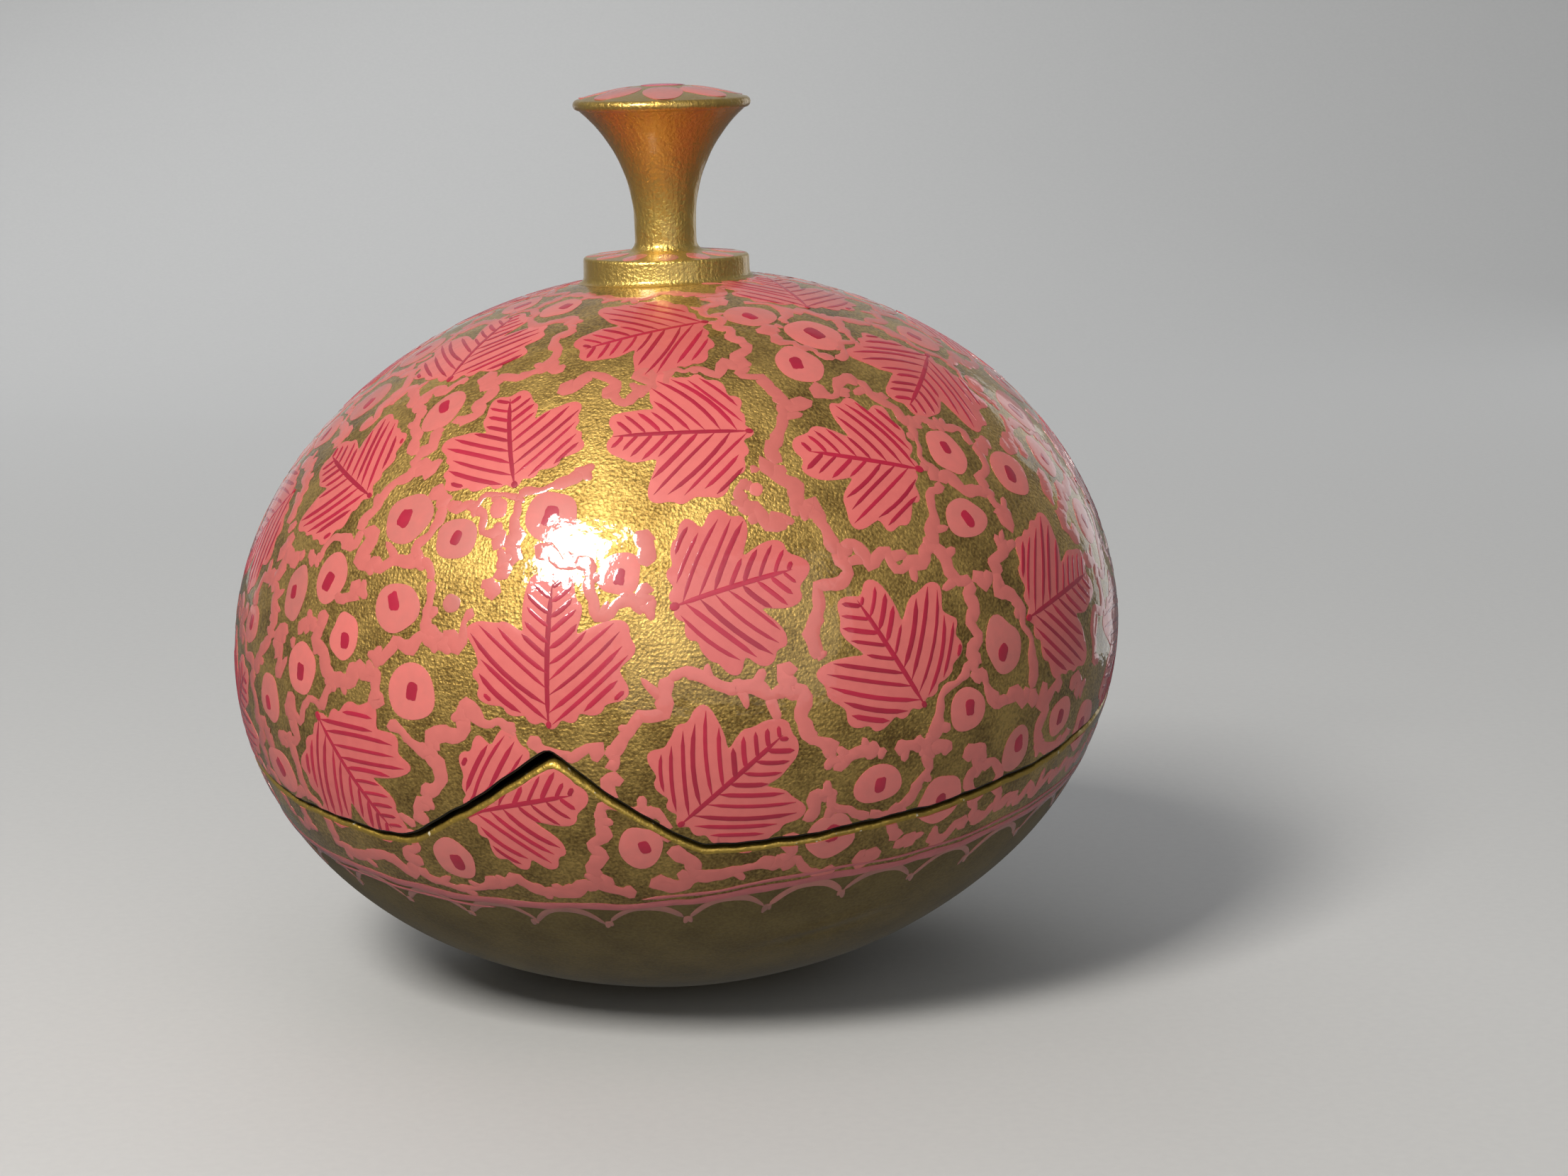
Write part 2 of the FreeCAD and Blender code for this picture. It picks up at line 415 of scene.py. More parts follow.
def over_plane(points, side="bowl"):
    """Height of points over the slanted plane, with their place beside and in front of the tooth."""
    origin, turn = seam_frame(side)
    x, y, z = np.moveaxis((points - origin) @ turn, -1, 0)
    outwards = x * np.cos(TOOTH_AZIMUTH) + y * np.sin(TOOTH_AZIMUTH)
    beside = -x * np.sin(TOOTH_AZIMUTH) + y * np.cos(TOOTH_AZIMUTH)
    return z, beside, outwards


def over_seam(points, side):
    """Height of points over the cut on one side of it, above zero on the lid's side. The gable is the
    lower of two slopes that rise from the tooth's feet, never below the plane, and the saw wandered by
    a tenth of a millimetre either way."""
    height, beside, outwards = over_plane(points, side)
    left_slope, right_slope = TOOTH_RISE / TOOTH_LEFT, TOOTH_RISE / TOOTH_RIGHT
    at_left, at_right, more_at_tip = CLEARANCES[side]
    nearness = np.clip(1 - np.abs(beside) / TOOTH_LEFT, 0, 1) ** 2
    left = TOOTH_RISE + beside * left_slope + (at_left + more_at_tip * nearness) * np.hypot(1, left_slope)
    right_gap = at_right + RIGHT_SHARE * more_at_tip * nearness**2
    right = TOOTH_RISE - beside * right_slope + right_gap * np.hypot(1, right_slope)
    gable = soft_max(-soft_max(-left, -right, TIP_ROUND), 0, FOOT_ROUND)
    around = np.arctan2(beside, outwards)
    saw = 0.12 * np.sin(19 * around + 1) + 0.08 * np.sin(43 * around) + 0.05 * np.sin(97 * around)
    return height - np.where(outwards > 0, gable, 0) - saw


def rim_elevation(azimuth, side, inset=0.0):
    """Elevation at which the wall meets the cut."""
    low, high = np.full_like(azimuth, np.radians(-70)), np.full_like(azimuth, np.radians(50))
    return crossing(lambda el: over_seam(on_gourd(azimuth, el, inset=inset), side), low, high)


every_azimuth = np.linspace(-np.pi, np.pi, 4097)
rim_table = {side: rim_elevation(every_azimuth, side) for side in ("bowl", "lid")}
print("rim heights", {side: np.degrees(t).round(1)[::512].tolist() for side, t in rim_table.items()})

# %% [markdown]
# ## Skins
# Both shells and the knob are rings of points, one under the other. A skin joins each ring to the next one
# with triangles, and closes an end in a pole or joins the last ring back to the first one.


# %% Skins
def ring_triangles(rows, columns, wrap_rows=False):
    """Two triangles for each cell of a grid whose columns run round, facing outwards where the columns
    run anticlockwise and the rows upwards."""
    row = np.arange(rows if wrap_rows else rows - 1)[:, None]
    column = np.arange(columns)[None, :]
    here, above = row * columns, ((row + 1) % rows) * columns
    beside = (column + 1) % columns
    a, b, c, d = here + column, here + beside, above + beside, above + column
    return np.concatenate([np.stack([a, b, c], -1), np.stack([a, c, d], -1)], 1).reshape(-1, 3)


def pole_triangles(pole, ring_start, columns, last):
    """A fan from a pole to a ring; the last ring's fan turns the other way from the first ring's."""
    column = np.arange(columns)
    beside = (column + 1) % columns
    order = (ring_start + column, ring_start + beside) if last else (ring_start + beside, ring_start + column)
    return np.stack([np.full(columns, pole), *order], -1)


def make_mesh(name, points, triangles, materials, face_material=None, attributes=None, sharp=40):
    """Puts points in millimetres and triangles into a smooth mesh object, with sharp edges where faces
    meet at more than an angle, and prints its size and its volume as a check that it faces outwards."""
    mesh = bpy.data.meshes.new(name)
    mesh.from_pydata(points * MM, [], triangles)
    mesh.shade_smooth()
    mesh.set_sharp_from_angle(angle=np.radians(sharp))
    for material in materials:
        mesh.materials.append(material)
    if face_material is not None:
        mesh.polygons.foreach_set("material_index", face_material.astype(np.int32))
    for key, values in (attributes or {}).items():
        layer = mesh.attributes.new(key, "FLOAT", "POINT")
        layer.data.foreach_set("value", values.astype(np.float32))
    piece = bpy.data.objects.new(name, mesh)
    scene.collection.objects.link(piece)
    a, b, c = points[triangles[:, 0]], points[triangles[:, 1]], points[triangles[:, 2]]
    volume = np.einsum("ij,ij->", a, np.cross(b, c)) / 6
    print(f"{name}: {len(triangles)} triangles, {volume / 1000:.3f} cm3")
    return piece


# %% [markdown]
# ## Where the plain belly begins
# Below a painted band the bowl is left plain: a duller wash over the same ground. The band follows the
# seam, some way under it, and climbs towards it right of the tooth, where the brush drifted.

# %% Band line
BAND_DROP, BAND_CLIMB = 8.9, 1.6


def band_drop(azimuth):
    """Distance of the band below the seam's plane: even, less one soft hump right of the tooth."""
    off = np.angle(np.exp(1j * (azimuth - np.radians(-74))))
    return BAND_DROP - BAND_CLIMB * np.exp(-((off / np.radians(20)) ** 2)) + 0.35 * np.sin(3 * azimuth)


def band_elevation(azimuth):
    """Elevation of the band's middle."""
    low, high = np.full_like(azimuth, np.radians(-75)), np.full_like(azimuth, np.radians(40))
    return crossing(
        lambda el: over_plane(on_gourd(azimuth, el))[0] + band_drop(azimuth), low, high
    )


band_table = band_elevation(every_azimuth)

# %% [markdown]
# ## Inside and at the rim
# The inside is brushed with black paint, which stays hidden until the lid is lifted. The bowl's cut edge
# was coated with white ground and gilded over, and wear shows the ground in chips. The lid's cut edge takes
# the same black, which paints the shade in the gap at the seam.


# %% Rim and inside finishes
def rim_finish():
    """Gilded ground: bright bronze with chalky chips where a noise passes a threshold."""
    material, tree, output, where = new_finish("gilded_rim_ground")
    chips = add_node(
        tree, "ShaderNodeTexNoise", {"Vector": where}, {"Scale": grain(1.1), "Detail": 3.0}
    )
    worn = add_node(
        tree, "ShaderNodeMapRange", {"Value": chips.outputs["Fac"]}, {"From Min": 0.67, "From Max": 0.71}
    )
    colour = add_node(
        tree,
        "ShaderNodeMix",
        {0: worn.outputs["Result"]},
        {6: paint("#DAB654"), 7: paint("#CFC6AE")},
        data_type="RGBA",
    )
    metal = add_node(
        tree, "ShaderNodeMapRange", {"Value": worn.outputs["Result"]}, {"To Min": 0.9, "To Max": 0.0}
    )
    uneven = add_node(
        tree,
        "ShaderNodeBump",
        {"Height": chips.outputs["Fac"]},
        {"Strength": 1.0, "Distance": 0.32 * MM},
    )
    shader = add_node(
        tree,
        "ShaderNodeBsdfPrincipled",
        {
            "Base Color": colour.outputs[2],
            "Metallic": metal.outputs["Result"],
            "Normal": uneven.outputs["Normal"],
        },
        {"Roughness": 0.48, "Coat Weight": 0.6, "Coat Roughness": 0.12},
    )
    tree.links.new(shader.outputs["BSDF"], output.inputs["Surface"])
    return material


def inside_finish():
    """Black brushed paint, satin, with faint brush marks that run round the wall; on the lid's cut edge it is
    painted shade.
    """
    material, tree, output, where = new_finish("black_inside_and_painted_gap_shade")
    along = add_node(tree, "ShaderNodeMapping", {"Vector": where}, {"Scale": (0.15, 0.15, 1.0)})
    marks = add_node(
        tree,
        "ShaderNodeTexNoise",
        {"Vector": along.outputs["Vector"]},
        {"Scale": grain(1.2), "Detail": 3.0},
    )
    ramp = add_node(tree, "ShaderNodeValToRGB", {"Fac": marks.outputs["Fac"]})
    ramp.color_ramp.elements[0].color = paint("#0B0A09")
    ramp.color_ramp.elements[1].color = paint("#1D1A17")
    relief = add_node(
        tree,
        "ShaderNodeBump",
        {"Height": marks.outputs["Fac"]},
        {"Strength": 0.5, "Distance": 0.15 * MM},
    )
    shader = add_node(
        tree,
        "ShaderNodeBsdfPrincipled",
        {"Base Color": ramp.outputs["Color"], "Normal": relief.outputs["Normal"]},
        {"Roughness": 0.42},
    )
    tree.links.new(shader.outputs["BSDF"], output.inputs["Surface"])
    return material


gilded_rim = rim_finish()
black_inside_and_gap_shade = inside_finish()

# %% [markdown]
# ## The two shells
# Each shell starts at its outer wall, goes over the rounded rim and comes back down or up the inside. The
# lid's skin closes on itself through the peg's hole; the bowl's ends in a pole under the foot and another
# inside. The outer corner of the rim is well rounded by ground and paint, and catches the light.

# %% Shells
COLUMNS = 640
OUTER_ROUND, INNER_ROUND = {"bowl": 0.8, "lid": 0.4}, 0.5
PEG_HOLE = peg_high[0] + 0.08
column_azimuth = np.linspace(-np.pi, np.pi, COLUMNS, endpoint=False)


def bend(before, corner, after, steps):
    """A rounded corner: a quadratic Bezier curve from before to after, pulled towards the corner."""
    t = np.linspace(0, 1, steps)[:, None, None]
    return (1 - t) ** 2 * before + 2 * t * (1 - t) * corner + t**2 * after


def between(low, high, steps):
    """Elevations from one ring to another in equal steps."""
    return low + (high - low) * np.linspace(0, 1, steps)[:, None]


def rim_rings(side, up):
    """Rings over the rim, from the outer wall to the inner wall. up is +1 where the wall rises to the rim
    from the outside, on the bowl, and -1 on the lid."""
    outer_rim = rim_elevation(column_azimuth, side)
    inner_rim = rim_elevation(column_azimuth, side, WALL)
    corner = on_gourd(column_azimuth, outer_rim)
    inner_corner = on_gourd(column_azimuth, inner_rim, inset=WALL)
    across = inner_corner - corner
    width = np.linalg.norm(across, axis=-1, keepdims=True)
    outer_end = outer_rim - up * OUTER_ROUND[side] / BODY_RADIUS
    inner_end = inner_rim - up * INNER_ROUND / BODY_RADIUS
    start = on_gourd(column_azimuth, outer_end)
    end = on_gourd(column_azimuth, inner_end, inset=WALL)
    outer_bend = bend(start, corner, corner + across * (OUTER_ROUND[side] / width), 7)
    inner_bend = bend(inner_corner - across * (INNER_ROUND / width), inner_corner, end, 4)
    return outer_end, inner_end, np.concatenate([outer_bend, inner_bend])


def hole_elevation(inset):
    """Elevation at which the wall is as far from the axis as the peg's hole."""
    low, high = np.full(COLUMNS, np.radians(60)), np.full(COLUMNS, np.radians(90))
    return crossing(
        lambda el: PEG_HOLE - reach(column_azimuth, el, inset) * np.cos(el), low, high
    )


def make_lid():
    outer_end, inner_end, rim = rim_rings("lid", -1)
    outer = on_gourd(column_azimuth, between(outer_end, hole_elevation(0), 84)[1:])
    inner = on_gourd(column_azimuth, between(hole_elevation(WALL), inner_end, 30)[:-1], inset=WALL)
    rings = np.concatenate([outer, inner, rim[::-1]])
    triangles = ring_triangles(len(rings), COLUMNS, wrap_rows=True)
    # The inside and the rim take the black; on the rim it is painted shade, so the gap at the seam looks
    # dark.
    finish = np.repeat([0, 1, 0], [len(outer) - 1, len(inner) + len(rim), 1])
    return make_mesh(
        "gourd_lid",
        rings.reshape(-1, 3),
        triangles,
        (bronze_paint, black_inside_and_gap_shade),
        np.repeat(finish, 2 * COLUMNS),
    )


def make_bowl():
    outer_end, inner_end, rim = rim_rings("bowl", 1)
    lowest = np.full(COLUMNS, np.radians(-70))
    foot = crossing(lambda el: on_gourd(column_azimuth, el)[:, 2] - 0.01, np.radians(-88), lowest + 0.35)
    band = band_elevation(column_azimuth)
    sole = on_gourd(column_azimuth, between(np.full(COLUMNS, np.radians(-89)), foot, 6))
    belly = on_gourd(column_azimuth, between(foot, band, 60)[1:])
    shoulder = on_gourd(column_azimuth, between(band, outer_end, 26)[1:-1])
    near_pole = np.full(COLUMNS, np.radians(-88))
    inner = on_gourd(column_azimuth, between(inner_end, near_pole, 30)[1:], inset=WALL)
    rings = np.concatenate([sole, belly, shoulder, rim, inner])
    under = np.array([[0, 0, 0.0]])
    inside_pole = on_gourd(np.zeros(1), np.full(1, -np.pi / 2), inset=WALL)
    points = np.concatenate([rings.reshape(-1, 3), under, inside_pole])
    count = len(rings) * COLUMNS
    triangles = np.concatenate(
        [
            ring_triangles(len(rings), COLUMNS),
            pole_triangles(count, 0, COLUMNS, last=False),
            pole_triangles(count + 1, count - COLUMNS, COLUMNS, last=True),
        ]
    )
    rows = [len(sole) + len(belly) - 1, len(shoulder) + 1, len(rim) - 1, len(inner)]
    finish = np.repeat([1, 0, 2, 3], rows)
    finish = np.concatenate([np.repeat(finish, 2 * COLUMNS), np.repeat([1, 3], COLUMNS)])
    finishes = (bronze_paint, plain_bronze, gilded_rim, black_inside_and_gap_shade)
    return make_mesh("gourd_bowl", points, triangles, finishes, finish)


gourd_lid = make_lid()
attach(gourd_lid, "lid")
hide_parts("lid")
gourd_bowl = make_bowl()
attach(gourd_bowl, "bowl")
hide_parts("bowl")

# %% [markdown]
# ## Thin raised paint
# Gouache under lacquer stands about a tenth of a millimetre proud, with rounded edges. So every motif is a
# thin closed solid that lies on the form. Each is first a flat patch of directions from the centre, with a
# height over the wall at each point. Then a whole layer is laid at once: a motif that crosses the seam is
# cut along both rims, as it is on the real box, where painting came before the cut was opened. Last, the
# patch gets an underside a little below the wall, and an edge.

# %% Patches
PAINT_STOP = {"bowl": 0.85, "lid": 0.42}
UNDERSIDE = -0.10
random = np.random.default_rng(11)


def chart(azimuth, elevation, right, up):
    """Directions of points laid out in millimetres, right and up, on the plane that touches the gourd
    where a direction meets it."""
    radial = direction(azimuth, elevation)
    east = np.array([-np.sin(azimuth), np.cos(azimuth), 0])
    plane = right[..., None] * east + up[..., None] * np.cross(radial, east)
    points = radial * reach(azimuth, elevation) + plane
    return points / np.linalg.norm(points, axis=-1, keepdims=True)


def disc(outline, heights, rings):
    """A patch from a closed outline about its own middle: rings are shares of the outline's distance, and
    each ring has its height. Returns the flat points, heights and triangles."""
    count = len(outline)
    flat = np.concatenate([np.zeros((1, 2)), (rings[:, None, None] * outline).reshape(-1, 2)])
    height = np.concatenate([heights[:1], np.repeat(heights[1:], count)])
    column = np.arange(count)
    fan = np.stack([np.zeros(count, int), 1 + column, 1 + (column + 1) % count], -1)
    walls = ring_triangles(len(rings), count)[:, ::-1] + 1
    return flat, height, np.concatenate([fan, walls])


def ribbon(path, left, right, low, high):
    """A brush stroke along unit directions: offsets to each side of the path, in millimetres, with low
    edges and a high middle. The side at a point is the path's own direction crossed with its radial."""
    along = np.gradient(path, axis=0)
    aside = np.cross(path, along)
    aside /= np.linalg.norm(aside, axis=1, keepdims=True)
    across = np.stack([-right, -0.6 * right, 0.6 * left, left], 1)
    points = path[:, None] + aside[:, None] * (across / BODY_RADIUS)[..., None]
    height = np.tile([low, high, high, low], (len(path), 1))
    height[[0, -1]] = low
    row, column = np.arange(len(path) - 1)[:, None] * 4, np.arange(3)[None, :]
    a, b, c, d = row + column, row + column + 4, row + column + 5, row + column + 1
    triangles = np.concatenate([np.stack([a, b, c], -1), np.stack([a, c, d], -1)], 1)
    return points.reshape(-1, 3), height.ravel(), triangles.reshape(-1, 3)


def pointed(count, sharpness=0.5):
    """Widths along a stroke, from nearly 0 at both ends to 1 in its middle."""
    t = np.linspace(0, 1, count)
    return 0.05 + 0.95 * (4 * t * (1 - t)) ** sharpness


class Layer:
    """All the motifs of one paint, as directions, heights, triangles and the motif's tone."""

    def __init__(self):
        self.parts, self.count = [], 0

    def add(self, directions, heights, triangles, tone=0.5):
        tones = np.full(len(heights), tone)
        self.parts.append((directions, heights, triangles + self.count, tones))
        self.count += len(heights)

    def gather(self):
        return [np.concatenate(column) for column in zip(*self.parts)]


def closed_sheet(top, under, triangles):
    """A solid from a patch: the top, the reversed underside, and a wall on each edge that only one
    triangle uses."""
    edges = np.concatenate([triangles[:, [0, 1]], triangles[:, [1, 2]], triangles[:, [2, 0]]])
    count = len(top)
    forwards, backwards = edges @ [count, 1], edges @ [1, count]
    a, b = edges[~np.isin(forwards, backwards)].T
    walls = np.concatenate([np.stack([b, a, a + count], -1), np.stack([b, a + count, b + count], -1)])
    return np.concatenate([top, under]), np.concatenate([triangles, triangles[:, ::-1] + count, walls])


def lay(layer, side, name, material):
    """Lays a layer on one side of the seam. Points past the rim slide to it, and triangles that are all
    past it go."""
    directions, heights, triangles, tones = layer.gather()
    azimuth, elevation = facing(directions + CENTRE)
    up = 1 if side == "bowl" else -1
    rim = np.interp(azimuth, every_azimuth, rim_table[side]) - up * PAINT_STOP[side] / BODY_RADIUS
    past = (elevation - rim) * up > 0
    elevation = np.where(past, rim, elevation)
    triangles = triangles[~past[triangles].all(1)]
    used, triangles = np.unique(triangles, return_inverse=True)
    triangles = triangles.reshape(-1, 3)
    azimuth, elevation, heights, tones = (v[used] for v in (azimuth, elevation, heights, tones))
    top = on_gourd(azimuth, elevation, heights)
    under = on_gourd(azimuth, elevation, UNDERSIDE)
    points, triangles = closed_sheet(top, under, triangles)
    piece = make_mesh(name, points, triangles, (material,), None, {"tone": np.tile(tones, 2)}, 50)
    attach(piece, side)
    return piece


# %% [markdown]
# ## Leaves
# The leaves are three-lobed like a vine's, each drawn with one loaded brush and then hatched with crimson:
# one midrib, and on each side parallel strokes that run out to the scalloped edge. An outline from a few
# radii about a point on the midrib gives the lobes, and half waves along it give the scallops.

# %% Leaf shape
LOBE_ANGLES = np.radians([0, 12, 21, 29, 37, 45, 56, 68, 79, 85, 92, 106, 120, 138, 160, 180])
LOBE_RADII = np.array(
    [0.66, 0.64, 0.57, 0.48, 0.24, 0.47, 0.62, 0.62, 0.56, 0.48, 0.54, 0.52, 0.45, 0.37, 0.31, 0.33]
)
NOTCH = 4
SCALLOPS, SCALLOP_DEPTH = 15, 0.065
LEAF_POINTS = 144
HATCH_SPACING, HATCH_WIDTH, HATCH_ANGLE = 1.62, 0.60, np.radians(50)
leaf_rings, dab_rings = np.array([0.25, 0.5, 0.75, 0.93, 1.0]), np.array([0.7, 1.0])


def leaf_radius(angle, shares, phase):
    """Distance of the outline from the leaf's middle, over its length, at an angle from the tip: straight
    between the lobes' radii, plus half waves for the scallops."""
    bare = np.interp(np.abs(np.angle(np.exp(1j * angle))), LOBE_ANGLES, shares)
    half_waves = np.abs(np.sin(SCALLOPS * angle / 2 + phase)) ** 0.8
    return bare * (1 - SCALLOP_DEPTH + 2.4 * SCALLOP_DEPTH * half_waves)


def smooth_round(values, width):
    """A moving average round a closed loop."""
    shifts = range(-width, width + 1)
    return sum(np.roll(values, s) for s in shifts) / len(shifts)


leaves, veins = Layer(), Layer()
leaf_edges = []


def stroke_on_leaf(place, start, end, sway, width):
    """A tapering stroke on a leaf between two flat points, bowed sideways by a little."""
    t = np.linspace(0, 1, 7)
    chord = end - start
    bow = np.array([-chord[1], chord[0]]) * sway
    flat = start + t[:, None] * chord + (4 * t * (1 - t))[:, None] * bow
    half = width / 2 * pointed(7, 0.15)
    veins.add(*ribbon(place(flat), half, half, 0.10, 0.12), random.uniform(0, 1))


def paint_leaf(azimuth_deg, elevation_deg, turn_deg, length):
    """One leaf from its stalk end, pointing at an angle from the right, with its veins."""
    turn = np.radians(turn_deg)
    turning = np.array([[np.cos(turn), np.sin(turn)], [-np.sin(turn), np.cos(turn)]])
    azimuth, elevation = np.radians(azimuth_deg), np.radians(elevation_deg)
    squash = random.uniform(0.92, 1.04)
    middle = np.array([0.36 * length, 0])

    def place(flat):
        right, up = ((flat * [1, squash] + middle) @ turning).T
        return chart(azimuth, elevation, right, up)

    angle = np.linspace(0, TURN, LEAF_POINTS, endpoint=False)
    shares = LOBE_RADII * random.uniform(0.93, 1.07, len(LOBE_RADII))
    shares[NOTCH] *= random.uniform(0.85, 1.3)
    phase = random.uniform(0, np.pi)
    radius = smooth_round(length * leaf_radius(angle, shares, phase), 1)
    outline = radius[:, None] * np.stack([np.cos(angle), np.sin(angle)], -1)
    flat, heights, triangles = disc(outline, np.array([0.08, 0.08, 0.08, 0.08, 0.065, 0.03]), leaf_rings)
    leaves.add(place(flat), heights, triangles, random.uniform(0, 1))
    leaf_edges.append(place(outline[::6]))

    def inside(points, share):
        polar = np.arctan2(points[:, 1], points[:, 0]) % TURN
        edge = np.interp(polar, np.append(angle, TURN), np.append(radius, radius[0]))
        return np.hypot(*points.T) < share * edge

    stroke_on_leaf(place, np.array([-0.36 * length, 0]), np.array([0.60 * length, 0]), 0.01, 0.70)
    dot = random.uniform(0.35, 0.55) * np.stack([1.3 * np.cos(angle[::12]), np.sin(angle[::12])], -1)
    flat, heights, triangles = disc(dot, np.array([0.13, 0.12, 0.10]), dab_rings)
    veins.add(place(flat - [0.335 * length, 0]), heights, triangles, random.uniform(0, 1))
    steps = np.linspace(0, length, 90)
    for side in (-1, 1):
        spread = HATCH_ANGLE * random.uniform(0.9, 1.1)
        heading = np.array([np.cos(spread), side * np.sin(spread)])
        spacing = HATCH_SPACING / np.sin(spread)
        for first in np.arange(-1.6 * length, 0.6 * length, spacing):
            line = np.array([first + random.uniform(-0.15, 0.15), 0]) + steps[:, None] * heading
            drawn = np.flatnonzero(inside(line, random.uniform(0.88, 0.97)))
            if len(drawn) * steps[1] > 1.2:
                width = HATCH_WIDTH * random.uniform(0.8, 1.25)
                sway = side * random.uniform(-0.01, 0.06)
                stroke_on_leaf(place, line[drawn[0]], line[drawn[-1]], sway, width)


# %% [markdown]
# ## Where the leaves are
# A painter starts at the tooth, with one leaf standing over its point and one laid across it, and these two
# places come from the tooth's own size. All the others are scattered round the gourd by throwing darts: a
# random place is kept if the leaf's middle is far enough from all others, from the seam and from the knob.

# %% Leaf places
LEAF_GAP, LEAF_TRIES = 24.5, 6000
SHORT_LEAF, LONG_LEAF = 17.0, 20.5
LEAF_OVER_TIP, LEAF_OVER_SEAM = np.radians(4), np.radians(3)
LOWEST_SINE, HIGHEST_SINE = -0.4, 0.93


def middle_of_leaf(azimuth_deg, elevation_deg, turn_deg, length):
    turn = np.radians(turn_deg)
    right, up = 0.45 * length * np.cos(turn), 0.45 * length * np.sin(turn)
    return chart(np.radians(azimuth_deg), np.radians(elevation_deg), np.array(right), np.array(up))


def seam_at(azimuth):
    return np.interp(azimuth, every_azimuth, rim_table["bowl"])


left_flank = TOOTH_AZIMUTH - 0.6 * TOOTH_LEFT / BODY_RADIUS
flank_slope = np.degrees(np.arctan(TOOTH_RISE / TOOTH_LEFT))
placed_leaves = [
    (np.degrees(TOOTH_AZIMUTH), np.degrees(seam_at(TOOTH_AZIMUTH) + LEAF_OVER_TIP), 90, LONG_LEAF),
    (np.degrees(left_flank), np.degrees(seam_at(left_flank)), flank_slope / 3, SHORT_LEAF),
]
for leaf in placed_leaves:
    paint_leaf(*leaf)
leaf_middles = [middle_of_leaf(*leaf) for leaf in placed_leaves]
for _ in range(LEAF_TRIES):
    azimuth_deg = random.uniform(-180, 180)
    elevation_deg = np.degrees(np.arcsin(random.uniform(LOWEST_SINE, HIGHEST_SINE)))
    leaf = (azimuth_deg, elevation_deg, random.uniform(0, 360), random.uniform(SHORT_LEAF, LONG_LEAF))
    middle = middle_of_leaf(*leaf)
    middle_azimuth, middle_elevation = facing(CENTRE + middle)
    gaps = np.arccos(np.clip(np.array(leaf_middles) @ middle, -1, 1)) * BODY_RADIUS
    over_seam_line = middle_elevation - seam_at(middle_azimuth)
    if gaps.min() > LEAF_GAP and middle[2] < HIGHEST_SINE and over_seam_line > LEAF_OVER_SEAM:
        leaf_middles.append(middle)
        paint_leaf(*leaf)
print("leaves:", len(leaf_middles))

# %% [markdown]
# ## Blossoms
# Between the leaves are blossoms, seen as plain drops of pink with one crimson dab, set off-centre. Their
# outline is an ellipse with low waves in it, and the dab is a small rounded square that was pulled sideways.

# %% Blossoms
blossoms, eyes = Layer(), Layer()
blossom_edges = []
blossom_rings = np.array([0.55, 0.85, 1.0])


def wavy(count, size):
    """One plus a few low waves round a loop, of random place and a given size."""
    angle = np.linspace(0, TURN, count, endpoint=False)
    return angle, 1 + sum(
        size / k**0.5 * random.uniform(-1, 1) * np.cos(k * angle + random.uniform(0, TURN))
        for k in (2, 3, 4, 5)
    )


def paint_blossom(azimuth_deg, elevation_deg, wide, high, eye=True):
    azimuth, elevation = np.radians(azimuth_deg), np.radians(elevation_deg)
    angle, waves = wavy(30, 0.08)
    tip = 0.5 + 0.5 * np.cos(angle - random.uniform(0, TURN))
    waves = waves * (1 + random.uniform(0, 0.2) * tip**9)
    outline = waves[:, None] * np.stack([wide / 2 * np.cos(angle), high / 2 * np.sin(angle)], -1)
    flat, heights, triangles = disc(outline, np.array([0.085, 0.08, 0.07, 0.03]), blossom_rings)
    blossoms.add(chart(azimuth, elevation, *flat.T), heights, triangles, random.uniform(0, 1) ** 2)
    blossom_edges.append(chart(azimuth, elevation, *outline[::4].T))
    if not eye:
        return
    angle, waves = wavy(16, 0.12)
    square = (np.abs(np.cos(angle)) ** 3.5 + np.abs(np.sin(angle)) ** 3.5) ** (-1 / 3.5)
    size = random.uniform(0.85, 1.15) * min(wide, high) / 7
    dab = (waves * square)[:, None] * np.stack([0.95 * size * np.cos(angle), 1.35 * size * np.sin(angle)], -1)
    lean = random.uniform(-0.5, 0.5)
    dab = dab @ np.array([[np.cos(lean), np.sin(lean)], [-np.sin(lean), np.cos(lean)]])
    off = random.uniform(-0.11, 0.11, 2) * [wide, high]
    flat, heights, triangles = disc(dab, np.array([0.13, 0.125, 0.10]), dab_rings)
    eyes.add(chart(azimuth, elevation, *(flat + off).T), heights, triangles, random.uniform(0, 1))


# %% [markdown]
# ## Filling the gaps
# A painter drops a blossom wherever a gap is left. The scatter does the same: it keeps a random place only
# if its own outline stays clear of every leaf and blossom. Points at the collar's foot and along the seam
# keep it from landing there.

# %% Blossom scatter
BLOSSOM_CLEAR, SPECK_CLEAR = 5.9, 3.3
BLOSSOM_TRIES, SPECK_TRIES, SPECKS = 6000, 600, 14
COLLAR_CLEAR, ABOVE_BAND = 15.0, 0.12
FROM_LEAF_MIDDLE, SPECK_FROM_MIDDLE = 11, 9
RIM_FAR, RIM_NEAR, SPECK_FROM_RIM = 4.2, 1.5, 3
around = np.linspace(0, TURN, 60, endpoint=False)
collar_ring = direction(around, np.full(60, np.arccos(COLLAR_CLEAR / 56)))
taken = [*leaf_edges, collar_ring]
middles = [edge.mean(0) / np.linalg.norm(edge.mean(0)) for edge in leaf_edges]


def throw_dart():
    """A random place above the band, with its clear distances to any motif, leaf's middle and the rim."""
    azimuth = random.uniform(-np.pi, np.pi)
    band = np.interp(azimuth, every_azimuth, band_table)
    elevation = np.arcsin(random.uniform(np.sin(band + ABOVE_BAND), HIGHEST_SINE))
    here = direction(azimuth, elevation)
    clear = np.arccos(np.clip(np.concatenate(taken) @ here, -1, 1).max()) * BODY_RADIUS
    leaf_gap = np.arccos(np.clip((np.array(middles) @ here).max(), -1, 1)) * BODY_RADIUS
    rim_gap = abs(elevation - seam_at(azimuth)) * BODY_RADIUS
    return np.degrees(azimuth), np.degrees(elevation), clear, leaf_gap, rim_gap


